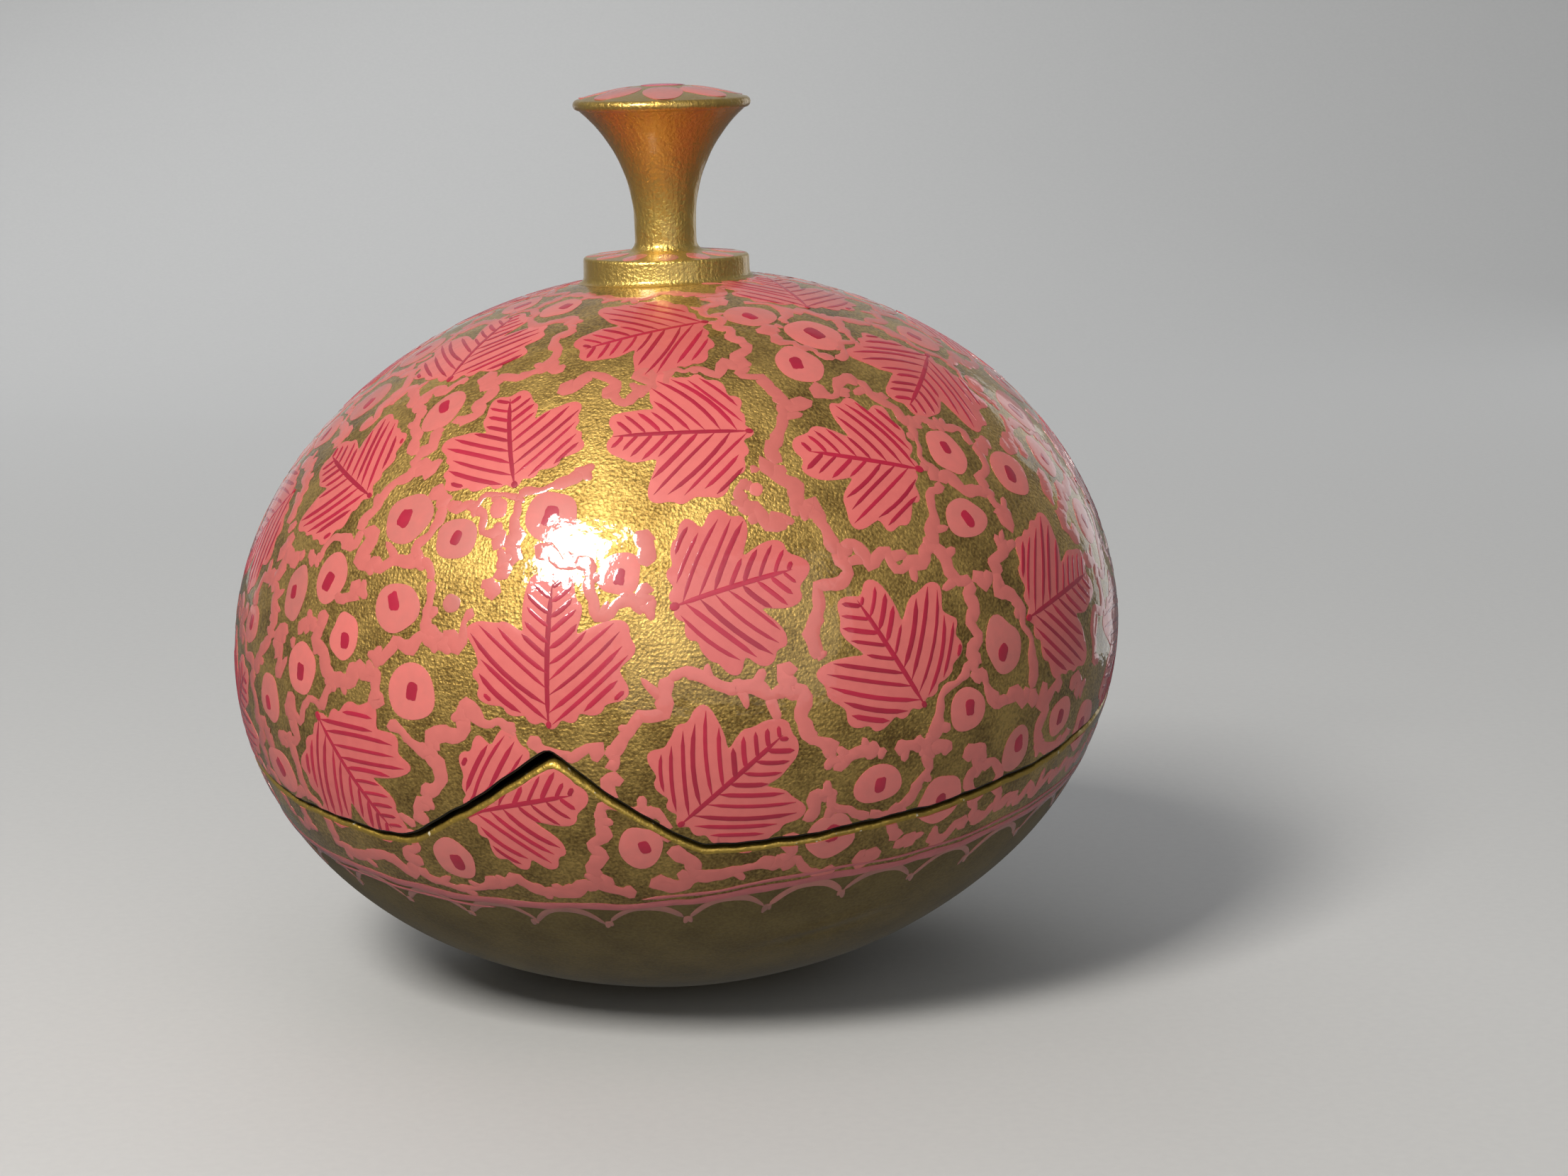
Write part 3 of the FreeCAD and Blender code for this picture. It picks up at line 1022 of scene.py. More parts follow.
for _ in range(BLOSSOM_TRIES):
    azimuth_deg, elevation_deg, clear, leaf_gap, rim_gap = throw_dart()
    beside_rim = rim_gap > RIM_FAR or rim_gap < RIM_NEAR
    if clear > BLOSSOM_CLEAR and leaf_gap > FROM_LEAF_MIDDLE and beside_rim:
        paint_blossom(azimuth_deg, elevation_deg, random.uniform(5.2, 8.0), random.uniform(5.4, 8.0))
        taken.append(blossom_edges[-1])
specks = 0
for _ in range(SPECK_TRIES):
    azimuth_deg, elevation_deg, clear, leaf_gap, rim_gap = throw_dart()
    roomy = clear > SPECK_CLEAR and leaf_gap > SPECK_FROM_MIDDLE and rim_gap > SPECK_FROM_RIM
    if specks < SPECKS and roomy:
        size = random.uniform(1.6, 3.4)
        paint_blossom(azimuth_deg, elevation_deg, size, size * random.uniform(0.8, 1.2), eye=False)
        taken.append(blossom_edges[-1])
        specks += 1
print("blossoms:", len(blossom_edges))

# %% [markdown]
# ## Vines
# The vines wander down the middle of every gap, so their line is where two motifs are equally far away:
# the edges of a Voronoi diagram on the ball of directions. The convex hull of the motifs' outline points
# gives it. Each of its triangles faces the direction equally far from its three corners, and the lines
# join the triangles on both sides of an edge whose ends belong to different motifs.


# %% Gap lines
def gap_lines(outlines):
    """Nodes on the gap lines as directions, with the clear distance at each, and each node's neighbours."""
    points = np.concatenate(outlines)
    motif = np.repeat(np.arange(len(outlines)), [len(outline) for outline in outlines])
    ball = bmesh.new()
    for point in points:
        ball.verts.new(point)
    ball.verts.index_update()
    bmesh.ops.convex_hull(ball, input=ball.verts)
    ball.normal_update()
    ball.faces.index_update()
    nodes = np.array([face.normal for face in ball.faces])
    corners = np.array([[v.index for v in face.verts[:3]] for face in ball.faces])
    nodes *= np.sign(np.einsum("ij,ij->i", nodes, points[corners[:, 0]]))[:, None]
    clear = np.arccos(np.clip(np.einsum("ij,ij->i", nodes, points[corners[:, 0]]), -1, 1)) * BODY_RADIUS
    neighbours = {}
    for edge in ball.edges:
        ends, faces = [v.index for v in edge.verts], [face.index for face in edge.link_faces]
        if len(faces) == 2 and motif[ends[0]] != motif[ends[1]]:
            neighbours.setdefault(faces[0], []).append(faces[1])
            neighbours.setdefault(faces[1], []).append(faces[0])
    ball.free()
    return nodes, clear, neighbours


def chains(neighbours):
    """Walks along the lines from junction to junction, each stretch once."""
    walked, found = set(), []
    for start in sorted(neighbours):
        if len(neighbours[start]) == 2:
            continue
        for step in neighbours[start]:
            if (start, step) in walked:
                continue
            chain = [start, step]
            while len(neighbours[chain[-1]]) == 2:
                onward = [n for n in neighbours[chain[-1]] if n != chain[-2]]
                if not onward:
                    break
                chain.append(onward[0])
            walked |= {(chain[0], chain[1]), (chain[-1], chain[-2])}
            found.append(chain)
    return found


# %% [markdown]
# ## The vine's own hand
# On that line the brush zigzags, thick and thin, with spurs, hooks and blobby ends. Straight stretches
# between random values, every few millimetres, give the angular wiggle and the width. Now and then the
# line breaks off and starts again.

# %% Vine strokes
VINE_STEP, WIGGLE_SPACING, VINE_CLEARANCE = 0.55, 2.3, 0.95
SEAM_CLEAR = 3.0
vines = Layer()


def jagged(count, spacing, low, high):
    """Random values at knots, joined by straight lines, at each step of a stroke."""
    knots = int(count * VINE_STEP / spacing) + 2
    at = np.linspace(0, knots - 1, count)
    return np.interp(at, np.arange(knots), random.uniform(low, high, knots))


def round_ends(count, blob):
    """Widths that close in a round end, with a swelling just inside it."""
    from_end = np.minimum(np.arange(count), np.arange(count)[::-1]) * VINE_STEP
    closing = np.sqrt(np.clip(1 - (1 - np.clip(from_end / 0.7, 0, 1)) ** 2, 0.004, 1))
    return closing * (1 + blob * np.exp(-(((from_end - 0.9) / 0.7) ** 2)))


def vine_tone(path):
    """One tone for all strokes of a neighbourhood: slow waves round and up the body."""
    azimuth, elevation = facing(path[len(path) // 2] + CENTRE)
    return 0.5 + 0.5 * np.sin(2 * azimuth + 1) * np.cos(5 * elevation)


def vine_stroke(path, half, blob):
    half = half * round_ends(len(path), blob)
    left = half * jagged(len(path), 0.9, 0.75, 1.3)
    right = half * jagged(len(path), 0.9, 0.75, 1.3)
    vines.add(*ribbon(path, left, right, 0.02, 0.07), vine_tone(path))


def spur(path, at, room):
    """A short side stroke that leaves the vine at a slant and thins out."""
    along = path[min(at + 1, len(path) - 1)] - path[at - 1]
    along /= np.linalg.norm(along)
    aside = np.cross(path[at], along) * random.choice([-1, 1])
    slant = random.uniform(-0.8, 0.8)
    length = min(random.uniform(1.4, 3.4), room)
    t = np.linspace(0, 1, 7)[:, None]
    reach_out = t * (aside + slant * along) + t**2 * random.uniform(-0.5, 0.5) * along
    bent = path[at] + reach_out * length / BODY_RADIUS
    bent /= np.linalg.norm(bent, axis=1, keepdims=True)
    half = np.linspace(0.85, random.uniform(0.25, 0.7), 7) * round_ends(7, 0)
    vines.add(*ribbon(bent, half, half, 0.02, 0.062), vine_tone(bent))


def paint_vine(path, clear):
    """One stretch between two junctions, resampled in even steps, wiggled and broken."""
    gaps = np.linalg.norm(np.diff(path, axis=0), axis=1) * BODY_RADIUS
    station = np.concatenate([[0], np.cumsum(gaps)])
    skipped = random.random() < (0.30 if station[-1] < 10 else 0.08)
    if station[-1] < 1.2 or clear.max() < VINE_CLEARANCE or skipped:
        return
    count = max(int(station[-1] / VINE_STEP), 6)
    even = np.linspace(0, station[-1], count)
    path = np.stack([np.interp(even, station, path[:, i]) for i in range(3)], 1)
    clear = np.interp(even, station, clear)
    path[1:-1] = (path[:-2] + path[1:-1] + path[2:]) / 3
    aside = np.cross(path, np.gradient(path, axis=0))
    aside /= np.linalg.norm(aside, axis=1, keepdims=True) + 1e-12
    fade = np.clip(np.minimum(even, even[::-1]) / 1.5, 0, 1)
    swing = jagged(count, WIGGLE_SPACING, -1, 1) * np.clip(0.62 * (clear - 0.5), 0, 1.8) * fade
    path = path + aside * (swing / BODY_RADIUS)[:, None]
    path /= np.linalg.norm(path, axis=1, keepdims=True)
    half = np.clip(0.28 * clear, 0.34, 0.84) * jagged(count, 1.9, 0.75, 1.45)
    if count > 16 and random.random() < 0.5:
        cut = random.integers(6, count - 7)
        vine_stroke(path[: cut - 1], half[: cut - 1], 0.7)
        vine_stroke(path[cut + 2 :], half[cut + 2 :], 0.5)
    else:
        vine_stroke(path, half, 0.0)
    for at in range(4, count - 4):
        if random.random() < 0.11 and clear[at] > 1.6:
            spur(path, at, 0.7 * clear[at])


def knot(centre, clear):
    """A three-cornered blot where the strokes meet: a disc with three waves round it."""
    azimuth, elevation = facing(centre + CENTRE)
    angle, waves = wavy(18, 0.16)
    radius = 0.38 * min(clear, 3.2) * (waves + 0.33 * np.cos(3 * angle + random.uniform(0, TURN)))
    outline = radius[:, None] * np.stack([np.cos(angle), np.sin(angle)], -1)
    flat, heights, triangles = disc(outline, np.array([0.072, 0.072, 0.06, 0.02]), blossom_rings)
    vines.add(chart(azimuth, elevation, *flat.T), heights, triangles, vine_tone(centre[None]))


band_ring = direction(every_azimuth[::24], band_table[::24])
seam_ring = direction(every_azimuth[::24], rim_table["bowl"][::24])
nearest = np.arccos(np.clip((seam_ring @ np.concatenate([*leaf_edges, *blossom_edges]).T).max(1), -1, 1))
seam_ring = seam_ring[nearest * BODY_RADIUS > SEAM_CLEAR]
outlines = [*leaf_edges, *blossom_edges, collar_ring, band_ring, seam_ring]
nodes, clear, neighbours = gap_lines(outlines)
for chain in chains(neighbours):
    paint_vine(nodes[chain], clear[chain])
for node in sorted(neighbours):
    if len(neighbours[node]) > 2 and clear[node] > 1.9 and random.random() < 0.6:
        knot(nodes[node], clear[node])
print("vine strokes:", len(vines.parts))

# %% [markdown]
# ## The band and its scallops
# One long wavering stroke closes the pattern off, doubled where the brush came round again. Under it
# hangs a row of thin arches with forked tails, in a darker, browner pink that paints the shade low on the
# bowl.

# %% Band and scallops
SCALLOP_COUNT, SCALLOP_DROP, TAIL = 32, 4.0, 1.9
bands, arches = Layer(), Layer()


def under_band(azimuth, drop):
    """Directions a distance in millimetres under the band's middle."""
    elevation = np.interp(azimuth, every_azimuth, band_table, period=TURN)
    return direction(azimuth, elevation - drop / BODY_RADIUS)


def rough_width(count, half, spread):
    few = count // 5
    swell = np.interp(np.linspace(0, 1, count), np.linspace(0, 1, few), random.uniform(-1, 1, few))
    return half * (1 + spread * swell)


def paint_band(first_deg, last_deg, drop, half):
    azimuth = np.radians(np.linspace(first_deg, last_deg, int((last_deg - first_deg) * 2)))
    count = len(azimuth)
    waver = 0.18 * np.sin(11 * azimuth) + 0.12 * np.sin(29 * azimuth + 1)
    ends = np.clip(np.minimum(np.arange(count), np.arange(count)[::-1]) / 4, 0.03, 1)
    left, right = rough_width(count, half, 0.3) * ends, rough_width(count, half, 0.3) * ends
    bands.add(*ribbon(under_band(azimuth, drop + waver), left, right, 0.03, 0.11), 0.8)


paint_band(-180, 181, 0.0, 0.68)
paint_band(-150, -118, 1.5, 0.30)
paint_band(-96, -20, -1.5, 0.30)
paint_band(30, 150, 1.4, 0.32)

scallop_turn = TURN / SCALLOP_COUNT
for number in range(SCALLOP_COUNT):
    first = number * scallop_turn + random.uniform(-0.01, 0.01)
    t = np.linspace(0.02, 0.98, 22)
    drop = 0.6 + SCALLOP_DROP * random.uniform(0.85, 1.1) * np.abs(2 * t - 1) ** 2.4
    half = rough_width(22, 0.58, 0.4) * pointed(22, 0.3)
    arch = under_band(first + t * scallop_turn, drop)
    arches.add(*ribbon(arch, half, half, 0.03, 0.09), random.uniform(0, 1))
    for lean in (-0.28, 0.34):
        t = np.linspace(0, 1, 8)
        length = TAIL * random.uniform(0.6, 1.2)
        azimuth = first + lean * length * t / BODY_RADIUS
        half = 0.60 * (1 - 0.5 * t) * pointed(8, 0.3)
        tail = under_band(azimuth, SCALLOP_DROP - 0.5 + length * t)
        arches.add(*ribbon(tail, half, half, 0.03, 0.09), random.uniform(0, 1))

# The arches' darker, browner pink is painted shade, low on the bowl where it faces down.
arch_pink_with_painted_shade = gouache("arch_pink_gouache_with_painted_shade", "#B06C60", "#8E5F53")
band_pink = gouache("dull_rose_gouache", "#C8686A", "#A85657")
for side in ("lid", "bowl"):
    lay(leaves, side, f"{side}_leaves", leaf_pink)
    lay(veins, side, f"{side}_leaf_veins", crimson)
    lay(blossoms, side, f"{side}_blossoms", blossom_pink)
    lay(eyes, side, f"{side}_blossom_eyes", crimson)
    lay(vines, side, f"{side}_vines", vine_pink)
lay(bands, "bowl", "bowl_band", band_pink)
lay(arches, "bowl", "bowl_scallops", arch_pink_with_painted_shade)

# %% [markdown]
# ## The knob
# The knob was turned on a lathe: a collar, a waist and a flared head with a domed top. Its profile is arcs
# and straight lines, carried round the axis, and its underside is hollowed to sit on the crown. Paint has
# filled the corner round its foot. It was gilded while still upright, with strokes up the flare, and its
# colour is lighter low down and darker up the flare, which faces down: painted shade.

# %% Knob profile
STEM_RADIUS, COVE_RADIUS, STEM_LENGTH = 4.5, 1.4, 2.6
COLLAR_HEIGHT, COLLAR_DOME, COLLAR_EDGE = 2.45, 0.6, 0.5
FLARE_HEIGHT, HEAD_BAND = 16.4, 1.6
PEG_IN_KNOB, SOCKET_SPARE = 6.0, 0.5
KNOB_COLUMNS = 192
HEAD_RADIUS = knob_high[0] - 0.02
COLLAR_RADIUS = 12.08
CROWN_Z = on_gourd(np.zeros(1), np.full(1, np.pi / 2))[0, 2]
COLLAR_TOP = CROWN_Z + COLLAR_HEIGHT


def arc_points(centre, radius, first_deg, last_deg, count):
    """Points of an arc in the profile, by its angles from the radius direction."""
    angle = np.radians(np.linspace(first_deg, last_deg, count))
    return np.array(centre) + radius * np.stack([np.cos(angle), np.sin(angle)], -1)


def knob_profile():
    """Radius and height from the collar's side up to the dome's edge on the axis."""
    edge = arc_points((COLLAR_RADIUS - COLLAR_EDGE, COLLAR_TOP - COLLAR_EDGE), COLLAR_EDGE, 0, 90, 6)
    cove_z = COLLAR_TOP + COLLAR_DOME + COVE_RADIUS
    cove = arc_points((STEM_RADIUS + COVE_RADIUS, cove_z), COVE_RADIUS, 270, 180, 10)
    top = np.linspace(edge[-1], cove[0], 8)[1:-1]
    stem_top = np.array([STEM_RADIUS, cove_z + STEM_LENGTH])
    stem = np.linspace(cove[-1], stem_top, 5)[1:]
    low = np.array([HEAD_RADIUS - HEAD_BAND / 2, stem_top[1] + FLARE_HEIGHT])
    out, up = low - stem_top
    flare_radius = (out**2 + up**2) / (2 * out)
    swing = np.degrees(np.arctan2(up, flare_radius - out))
    flare = arc_points((STEM_RADIUS + flare_radius, stem_top[1]), flare_radius, 180, 180 - swing, 30)[1:]
    band = arc_points(low + [0, HEAD_BAND / 2], HEAD_BAND / 2, -80, 90, 9)
    rise = knob_high[2] - band[-1, 1]
    dome_radius = (band[-1, 0] ** 2 + rise**2) / (2 * rise)
    opening = np.degrees(np.arctan2(band[-1, 0], dome_radius - rise))
    dome = arc_points((0, knob_high[2] - dome_radius), dome_radius, 90 - opening, 89.5, 16)[1:]
    return edge, top, cove, np.concatenate([edge, top, cove, stem, flare, band, dome]), dome


collar_edge, collar_top, collar_cove, profile, dome_profile = knob_profile()
print("profile points:", len(profile), "head", profile[:, 0].max().round(2), "top", profile[-1, 1].round(2))


def crown_ring(radius):
    """A ring on the crown at a distance from the axis."""
    around = np.linspace(-np.pi, np.pi, KNOB_COLUMNS, endpoint=False)
    low, high = np.full(KNOB_COLUMNS, np.radians(60)), np.full(KNOB_COLUMNS, np.radians(90))
    elevation = crossing(lambda el: radius - reach(around, el) * np.cos(el), low, high)
    return on_gourd(around, elevation)


def make_knob(material):
    """Socket, underside, foot, and the profile with a lathe hand's unevenness: the radius wavers by a few
    hundredths of a millimetre."""
    around = np.linspace(-np.pi, np.pi, KNOB_COLUMNS, endpoint=False)
    flat = np.stack([np.cos(around), np.sin(around), np.zeros(KNOB_COLUMNS)], -1)
    socket_top = CROWN_Z + PEG_IN_KNOB + SOCKET_SPARE
    socket = flat * PEG_HOLE + [0, 0, socket_top]
    below = [crown_ring(r) + [0, 0, 0.02] for r in (PEG_HOLE, 5.0, 8.0, 11.0, COLLAR_RADIUS + 0.9)]
    foot_z = crown_ring(COLLAR_RADIUS)[:, 2]
    foot = []
    for out, up in ((0.8, 0.02), (0.38, 0.12), (0.13, 0.32), (0.0, 0.7)):
        ring = flat * (COLLAR_RADIUS + out)
        ring[:, 2] = foot_z + up - out * 0.2
        foot.append(ring)
    profile_rings = flat[None] * profile[:, 0, None, None]
    waver = 0.035 * np.sin(5 * around + profile[:, 1, None] * 0.8) * np.clip(profile[:, 0, None] / 4, 0, 1)
    profile_rings = profile_rings * (1 - np.abs(waver) / profile[:, 0, None])[..., None]
    profile_rings[..., 2] = profile[:, 1, None]
    rings = np.concatenate([np.stack([socket, *below, *foot]), profile_rings])
    poles = np.array([[0, 0, socket_top], [0, 0, knob_high[2]]])
    points = np.concatenate([rings.reshape(-1, 3), poles])
    count = len(rings) * KNOB_COLUMNS
    triangles = np.concatenate(
        [
            ring_triangles(len(rings), KNOB_COLUMNS),
            pole_triangles(count, 0, KNOB_COLUMNS, last=False),
            pole_triangles(count + 1, count - KNOB_COLUMNS, KNOB_COLUMNS, last=True),
        ]
    )
    return make_mesh("turned_knob", points, triangles, (material,), None, None, 35)


# %% [markdown]
# ## The gilding on the knob
# Bronze paint again, but brushed upwards in fine strokes, so its streaks run along the axis. The height
# chooses the colour as painted light and shade: bright gold on the collar and the stem's foot, a darker
# coppery brown up the flare, painted as shaded where it faces down, and gold on the rim.


# %% Knob finish
def knob_gilding_with_painted_shade():
    material, tree, output, where = new_finish("gilding_with_painted_flare_shade")
    height = add_node(tree, "ShaderNodeSeparateXYZ", {"Vector": where}).outputs["Z"]
    patchy = add_node(
        tree, "ShaderNodeTexNoise", {"Vector": where}, {"Scale": grain(4), "Detail": 3.0}
    )
    wander = add_node(
        tree,
        "ShaderNodeMath",
        {0: patchy.outputs["Fac"], 2: height},
        {1: 5.0 * MM},
        operation="MULTIPLY_ADD",
    )
    # The height sets the gold: lighter on the collar, darker and more coppery up the downward-facing flare,
    # as painted shade.
    low, high = COLLAR_TOP * MM, (knob_high[2] + 3) * MM
    share = add_node(
        tree, "ShaderNodeMapRange", {"Value": wander.outputs[0]}, {"From Min": low, "From Max": high}
    )
    ramp = add_node(tree, "ShaderNodeValToRGB", {"Fac": share.outputs["Result"]})
    stops = ((0.0, "#E2C06A"), (0.30, "#E4C266"), (0.50, "#DCB45C"), (0.84, "#D4A852"), (0.93, "#DCBC68"))
    while len(ramp.color_ramp.elements) < len(stops):
        ramp.color_ramp.elements.new(0.5)
    for element, (position, colour) in zip(ramp.color_ramp.elements, stops):
        element.position = position
        element.color = paint(colour)
    upwards = add_node(tree, "ShaderNodeMapping", {"Vector": where}, {"Scale": (1.0, 1.0, 0.14)})
    streaks = add_node(
        tree,
        "ShaderNodeTexNoise",
        {"Vector": upwards.outputs["Vector"]},
        {"Scale": grain(0.55), "Detail": 3.0},
    )
    speck = add_node(
        tree, "ShaderNodeTexNoise", {"Vector": where}, {"Scale": grain(0.5), "Detail": 2.0}
    )
    dark = add_node(
        tree, "ShaderNodeMapRange", {"Value": streaks.outputs["Fac"]}, {"From Min": 0.3, "To Min": 0.80}
    )
    shaded = add_node(
        tree,
        "ShaderNodeMix",
        {6: ramp.outputs["Color"], 7: dark.outputs["Result"]},
        {0: 0.8},
        data_type="RGBA",
        blend_type="MULTIPLY",
    )
    ridges = add_node(
        tree,
        "ShaderNodeBump",
        {"Height": streaks.outputs["Fac"]},
        {"Strength": 0.6, "Distance": 0.24 * MM},
    )
    grained = add_node(
        tree,
        "ShaderNodeBump",
        {"Height": speck.outputs["Fac"], "Normal": ridges.outputs["Normal"]},
        {"Strength": 0.8, "Distance": 0.20 * MM},
    )
    shader = add_node(
        tree,
        "ShaderNodeBsdfPrincipled",
        {
            "Base Color": shaded.outputs[2],
            "Normal": grained.outputs["Normal"],
            "Coat Normal": lacquer_normal(tree, where, 0.7),
        },
        {"Metallic": 0.9, "Roughness": 0.44, "Coat Weight": 0.7, "Coat Roughness": 0.14},
    )
    tree.links.new(shader.outputs["BSDF"], output.inputs["Surface"])
    return material


turned_knob = make_knob(knob_gilding_with_painted_shade())
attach(turned_knob, "lid")
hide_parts("knob")

# %% [markdown]
# ## Petals on the knob
# Short petals stand round the collar's top, and the dome carries a rosette with a deep pink heart. They
# are patches as before, laid out as seen from above: the profile's height at a point's radius is where
# the paint lies.


# %% Knob petals
def lay_on_knob(patches, section, name, material):
    """Patches in plan, laid on a section of the profile, given as radii and heights."""
    order = np.argsort(section[:, 0])
    radii, heights = section[order].T
    flat, lifts, triangles, tones, count = [], [], [], [], 0
    for points, height, faces in patches:
        flat.append(points)
        lifts.append(height)
        triangles.append(faces + count)
        tones.append(np.full(len(points), random.uniform(0, 1)))
        count += len(points)
    flat, lifts = np.concatenate(flat), np.concatenate(lifts)
    ground = np.interp(np.hypot(*flat.T), radii, heights)
    top = np.column_stack([flat, ground + lifts])
    under = np.column_stack([flat, ground + UNDERSIDE])
    points, triangles = closed_sheet(top, under, np.concatenate(triangles))
    tone = {"tone": np.tile(np.concatenate(tones), 2)}
    piece = make_mesh(name, points, triangles, (material,), None, tone, 50)
    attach(piece, "lid")


def petal(turn, distance, length, width, heights=(0.11, 0.10, 0.08, 0.03)):
    """A petal in plan: an ellipse with waves in it, at a distance from the axis and pointing away."""
    angle, waves = wavy(26, 0.08)
    outline = waves[:, None] * np.stack([length / 2 * np.cos(angle), width / 2 * np.sin(angle)], -1)
    flat, lifts, triangles = disc(outline, np.array(heights), blossom_rings)
    flat = flat + [distance, 0]
    spin = np.array([[np.cos(turn), np.sin(turn)], [-np.sin(turn), np.cos(turn)]])
    return flat @ spin, lifts, triangles


def petal_ring(count, unrest, distance, lengths, widths):
    """Petals evenly round the axis, each off its place by a little, with a random length and width."""
    return [
        petal(
            (k + random.uniform(-unrest, unrest)) * TURN / count,
            distance,
            random.uniform(*lengths),
            random.uniform(*widths),
        )
        for k in range(count)
    ]


COLLAR_PETALS, DOME_PETALS = 12, 8
collar_section = np.concatenate([collar_edge, collar_top, collar_cove[:5]])
collar_petals = petal_ring(COLLAR_PETALS, 0.15, 9.0, (4.6, 5.6), (2.8, 3.6))
lay_on_knob(collar_petals, collar_section, "collar_petals", blossom_pink)

dome_section = np.concatenate([dome_profile, [[0, knob_high[2]]]])
dome_petals = petal_ring(DOME_PETALS, 0.12, 8.1, (7.0, 7.8), (5.6, 6.4))
lay_on_knob(dome_petals, dome_section, "dome_petals", blossom_pink)
heart_pink = gouache("magenta_pink_gouache", "#D0607C", "#B44A6A")
heart = petal(0.4, 0.3, 6.2, 5.6, (0.17, 0.16, 0.13, 0.08))
lay_on_knob([heart], dome_section, "dome_heart", heart_pink)

# %% [markdown]
# ## The peg
# The peg is a plain hardwood dowel with its grain along its length. It shows only inside the lid, where its
# end stands a millimetre out of the crown.


# %% Peg finish
def dowel_wood():
    """Pale hardwood: rings of grain drawn out along the dowel by a stretched noise."""
    material, tree, output, where = new_finish("beech_dowel")
    along = add_node(tree, "ShaderNodeMapping", {"Vector": where}, {"Scale": (1.0, 1.0, 0.06)})
    fibre = add_node(
        tree,
        "ShaderNodeTexNoise",
        {"Vector": along.outputs["Vector"]},
        {"Scale": grain(0.5), "Detail": 4.0},
    )
    ramp = add_node(tree, "ShaderNodeValToRGB", {"Fac": fibre.outputs["Fac"]})
    ramp.color_ramp.elements[0].position, ramp.color_ramp.elements[1].position = 0.35, 0.68
    ramp.color_ramp.elements[0].color = paint("#9C7448")
    ramp.color_ramp.elements[1].color = paint("#C9A474")
    relief = add_node(
        tree, "ShaderNodeBump", {"Height": fibre.outputs["Fac"]}, {"Strength": 0.3, "Distance": 0.1 * MM}
    )
    shader = add_node(
        tree,
        "ShaderNodeBsdfPrincipled",
        {"Base Color": ramp.outputs["Color"], "Normal": relief.outputs["Normal"]},
        {"Roughness": 0.62},
    )
    tree.links.new(shader.outputs["BSDF"], output.inputs["Surface"])
    return material


beech = dowel_wood()
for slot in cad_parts["knob_peg"].material_slots:
    slot.material = beech

# %% [markdown]
# ## Floor and light
# A pale sheet runs back and sweeps up behind the box. One soft lamp, high at the front left, makes the
# torn highlight on the lid's shoulder, a large weak one fills the front, and a panel low at the back right
# puts a pale rim on the far edge. Three more light only what is matt, because their mirror images would
# streak the lacquer: one behind the box, one above it, and one turned on the backdrop.

# %% Floor and light
FLOOR_HALF, FLOOR_FRONT, SWEEP_START, SWEEP_RADIUS, BACKDROP_TOP = 0.95, -0.8, 0.75, 0.7, 2.2


def stage_sheet(name, line, material):
    """A profile of places back and up, drawn out sideways."""
    left = np.column_stack([np.full(len(line), -FLOOR_HALF), line])
    i, n = np.arange(len(line) - 1), len(line)
    mesh = bpy.data.meshes.new(name)
    faces = np.stack([i, i + n, i + n + 1, i + 1], -1)
    mesh.from_pydata(np.concatenate([left, left * [-1, 1, 1]]), [], faces)
    mesh.shade_smooth()
    mesh.materials.append(material)
    sheet = bpy.data.objects.new(name, mesh)
    scene.collection.objects.link(sheet)
    return sheet


def pale_paper():
    material, tree, output, where = new_finish("pale_paper_sweep")
    fibre = add_node(tree, "ShaderNodeTexNoise", {"Vector": where}, {"Scale": grain(1.5), "Detail": 4.0})
    ramp = add_node(tree, "ShaderNodeValToRGB", {"Fac": fibre.outputs["Fac"]})
    ramp.color_ramp.elements[0].color = paint("#BCBDBE")
    ramp.color_ramp.elements[1].color = paint("#C3C4C4")
    shader = add_node(
        tree, "ShaderNodeBsdfPrincipled", {"Base Color": ramp.outputs["Color"]}, {"Roughness": 0.85}
    )
    tree.links.new(shader.outputs["BSDF"], output.inputs["Surface"])
    return material


def make_floor():
    """The floor is level; the backdrop is a quarter circle, then upright. The glossy lacquer would mirror
    the floor all over the belly and wash the gold out, so gloss doesn't see the floor."""
    paper = pale_paper()
    quarter = np.linspace(-np.pi / 2, 0, 24)
    curve = np.stack([SWEEP_START + SWEEP_RADIUS * np.cos(quarter), SWEEP_RADIUS * (1 + np.sin(quarter))], -1)
    floor = stage_sheet("floor", np.array([[FLOOR_FRONT, 0], [SWEEP_START, 0]]), paper)
    floor.visible_glossy = False
    stage_sheet("backdrop", np.concatenate([curve, [[SWEEP_START + SWEEP_RADIUS, BACKDROP_TOP]]]), paper)


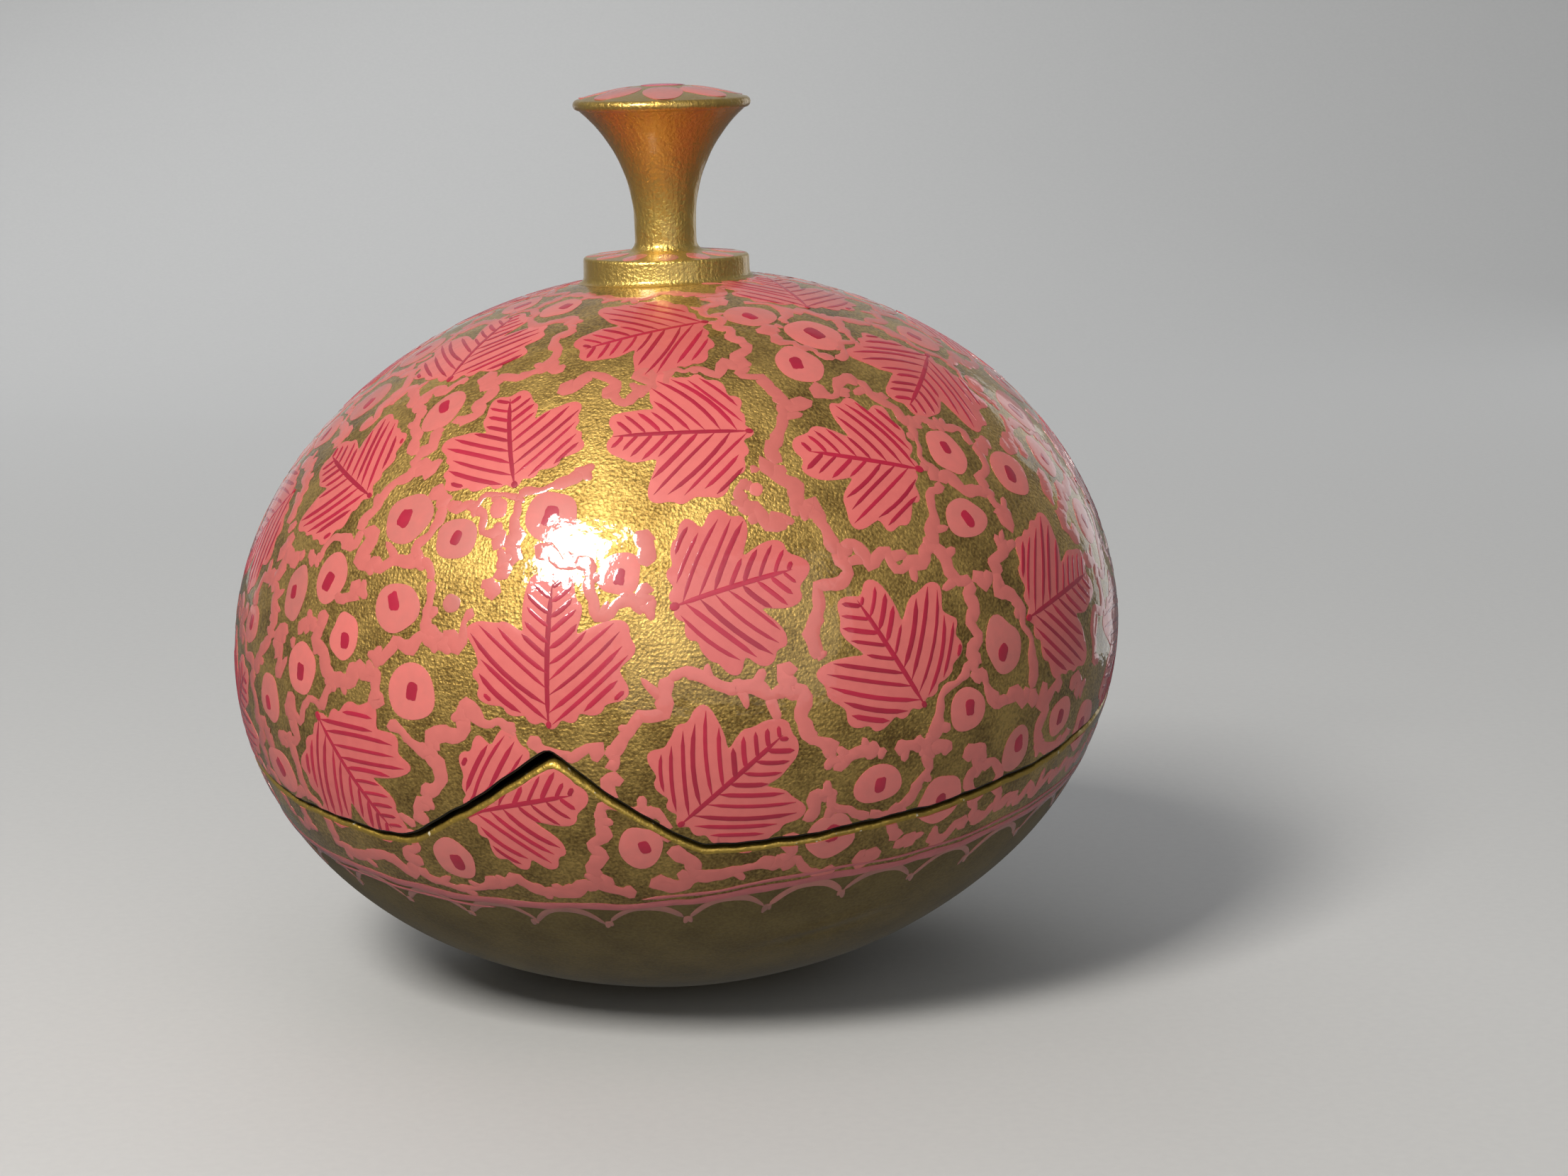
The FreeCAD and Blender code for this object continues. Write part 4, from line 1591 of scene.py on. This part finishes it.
def add_lamp(name, towards, distance, size, power, colour="#FFFFFF", middle=(0, 0, 0.06), mirrored=True):
    """A soft rectangular lamp, placed along a direction from a point and facing it. One that isn't
    mirrored lights matt paint but makes no highlight in the lacquer."""
    lamp = bpy.data.lights.new(name, "AREA")
    lamp.shape = "RECTANGLE"
    lamp.size, lamp.size_y = size
    lamp.energy = power
    lamp.color = paint(colour)[:3]
    thing = bpy.data.objects.new(name, lamp)
    scene.collection.objects.link(thing)
    heading = Vector(towards).normalized()
    thing.location = Vector(middle) + heading * distance
    thing.rotation_euler = heading.to_track_quat("Z", "Y").to_euler()
    thing.visible_glossy = mirrored


def light_the_room():
    """A dim grey room, so that the lacquer mirrors little of it, with pale walls where it is seen itself."""
    world = bpy.data.worlds.new("room")
    world.use_nodes = True
    tree = world.node_tree
    tree.nodes.clear()
    dim = add_node(tree, "ShaderNodeBackground", None, {"Color": paint("#C8CACC"), "Strength": 0.20})
    pale = add_node(tree, "ShaderNodeBackground", None, {"Color": paint("#C8CACC"), "Strength": 0.75})
    seen = add_node(tree, "ShaderNodeLightPath").outputs["Is Camera Ray"]
    either = add_node(
        tree, "ShaderNodeMixShader", {0: seen, 1: dim.outputs["Background"], 2: pale.outputs["Background"]}
    )
    add_node(tree, "ShaderNodeOutputWorld", {"Surface": either.outputs["Shader"]})
    scene.world = world


make_floor()
add_lamp("key", (-0.40, -0.60, 0.69), 0.9, (0.25, 0.30), 8.1, "#FFFAF2")
add_lamp("fill", (0.2, -0.93, 0.3), 1.4, (1.5, 1.3), 3.4)
add_lamp("edge", (0.62, 0.78, 0.08), 0.9, (0.3, 0.6), 0.45)
add_lamp("behind", (-0.3, 0.85, 0.5), 1.2, (0.9, 0.6), 3.6, mirrored=False)
add_lamp("above", (0, -0.35, 1), 1.5, (2.0, 1.6), 2.6, mirrored=False)
add_lamp("backdrop", (0, -0.75, 0.65), 1.1, (1.8, 0.5), 4.6, middle=(0, 1.45, 0.5), mirrored=False)
light_the_room()
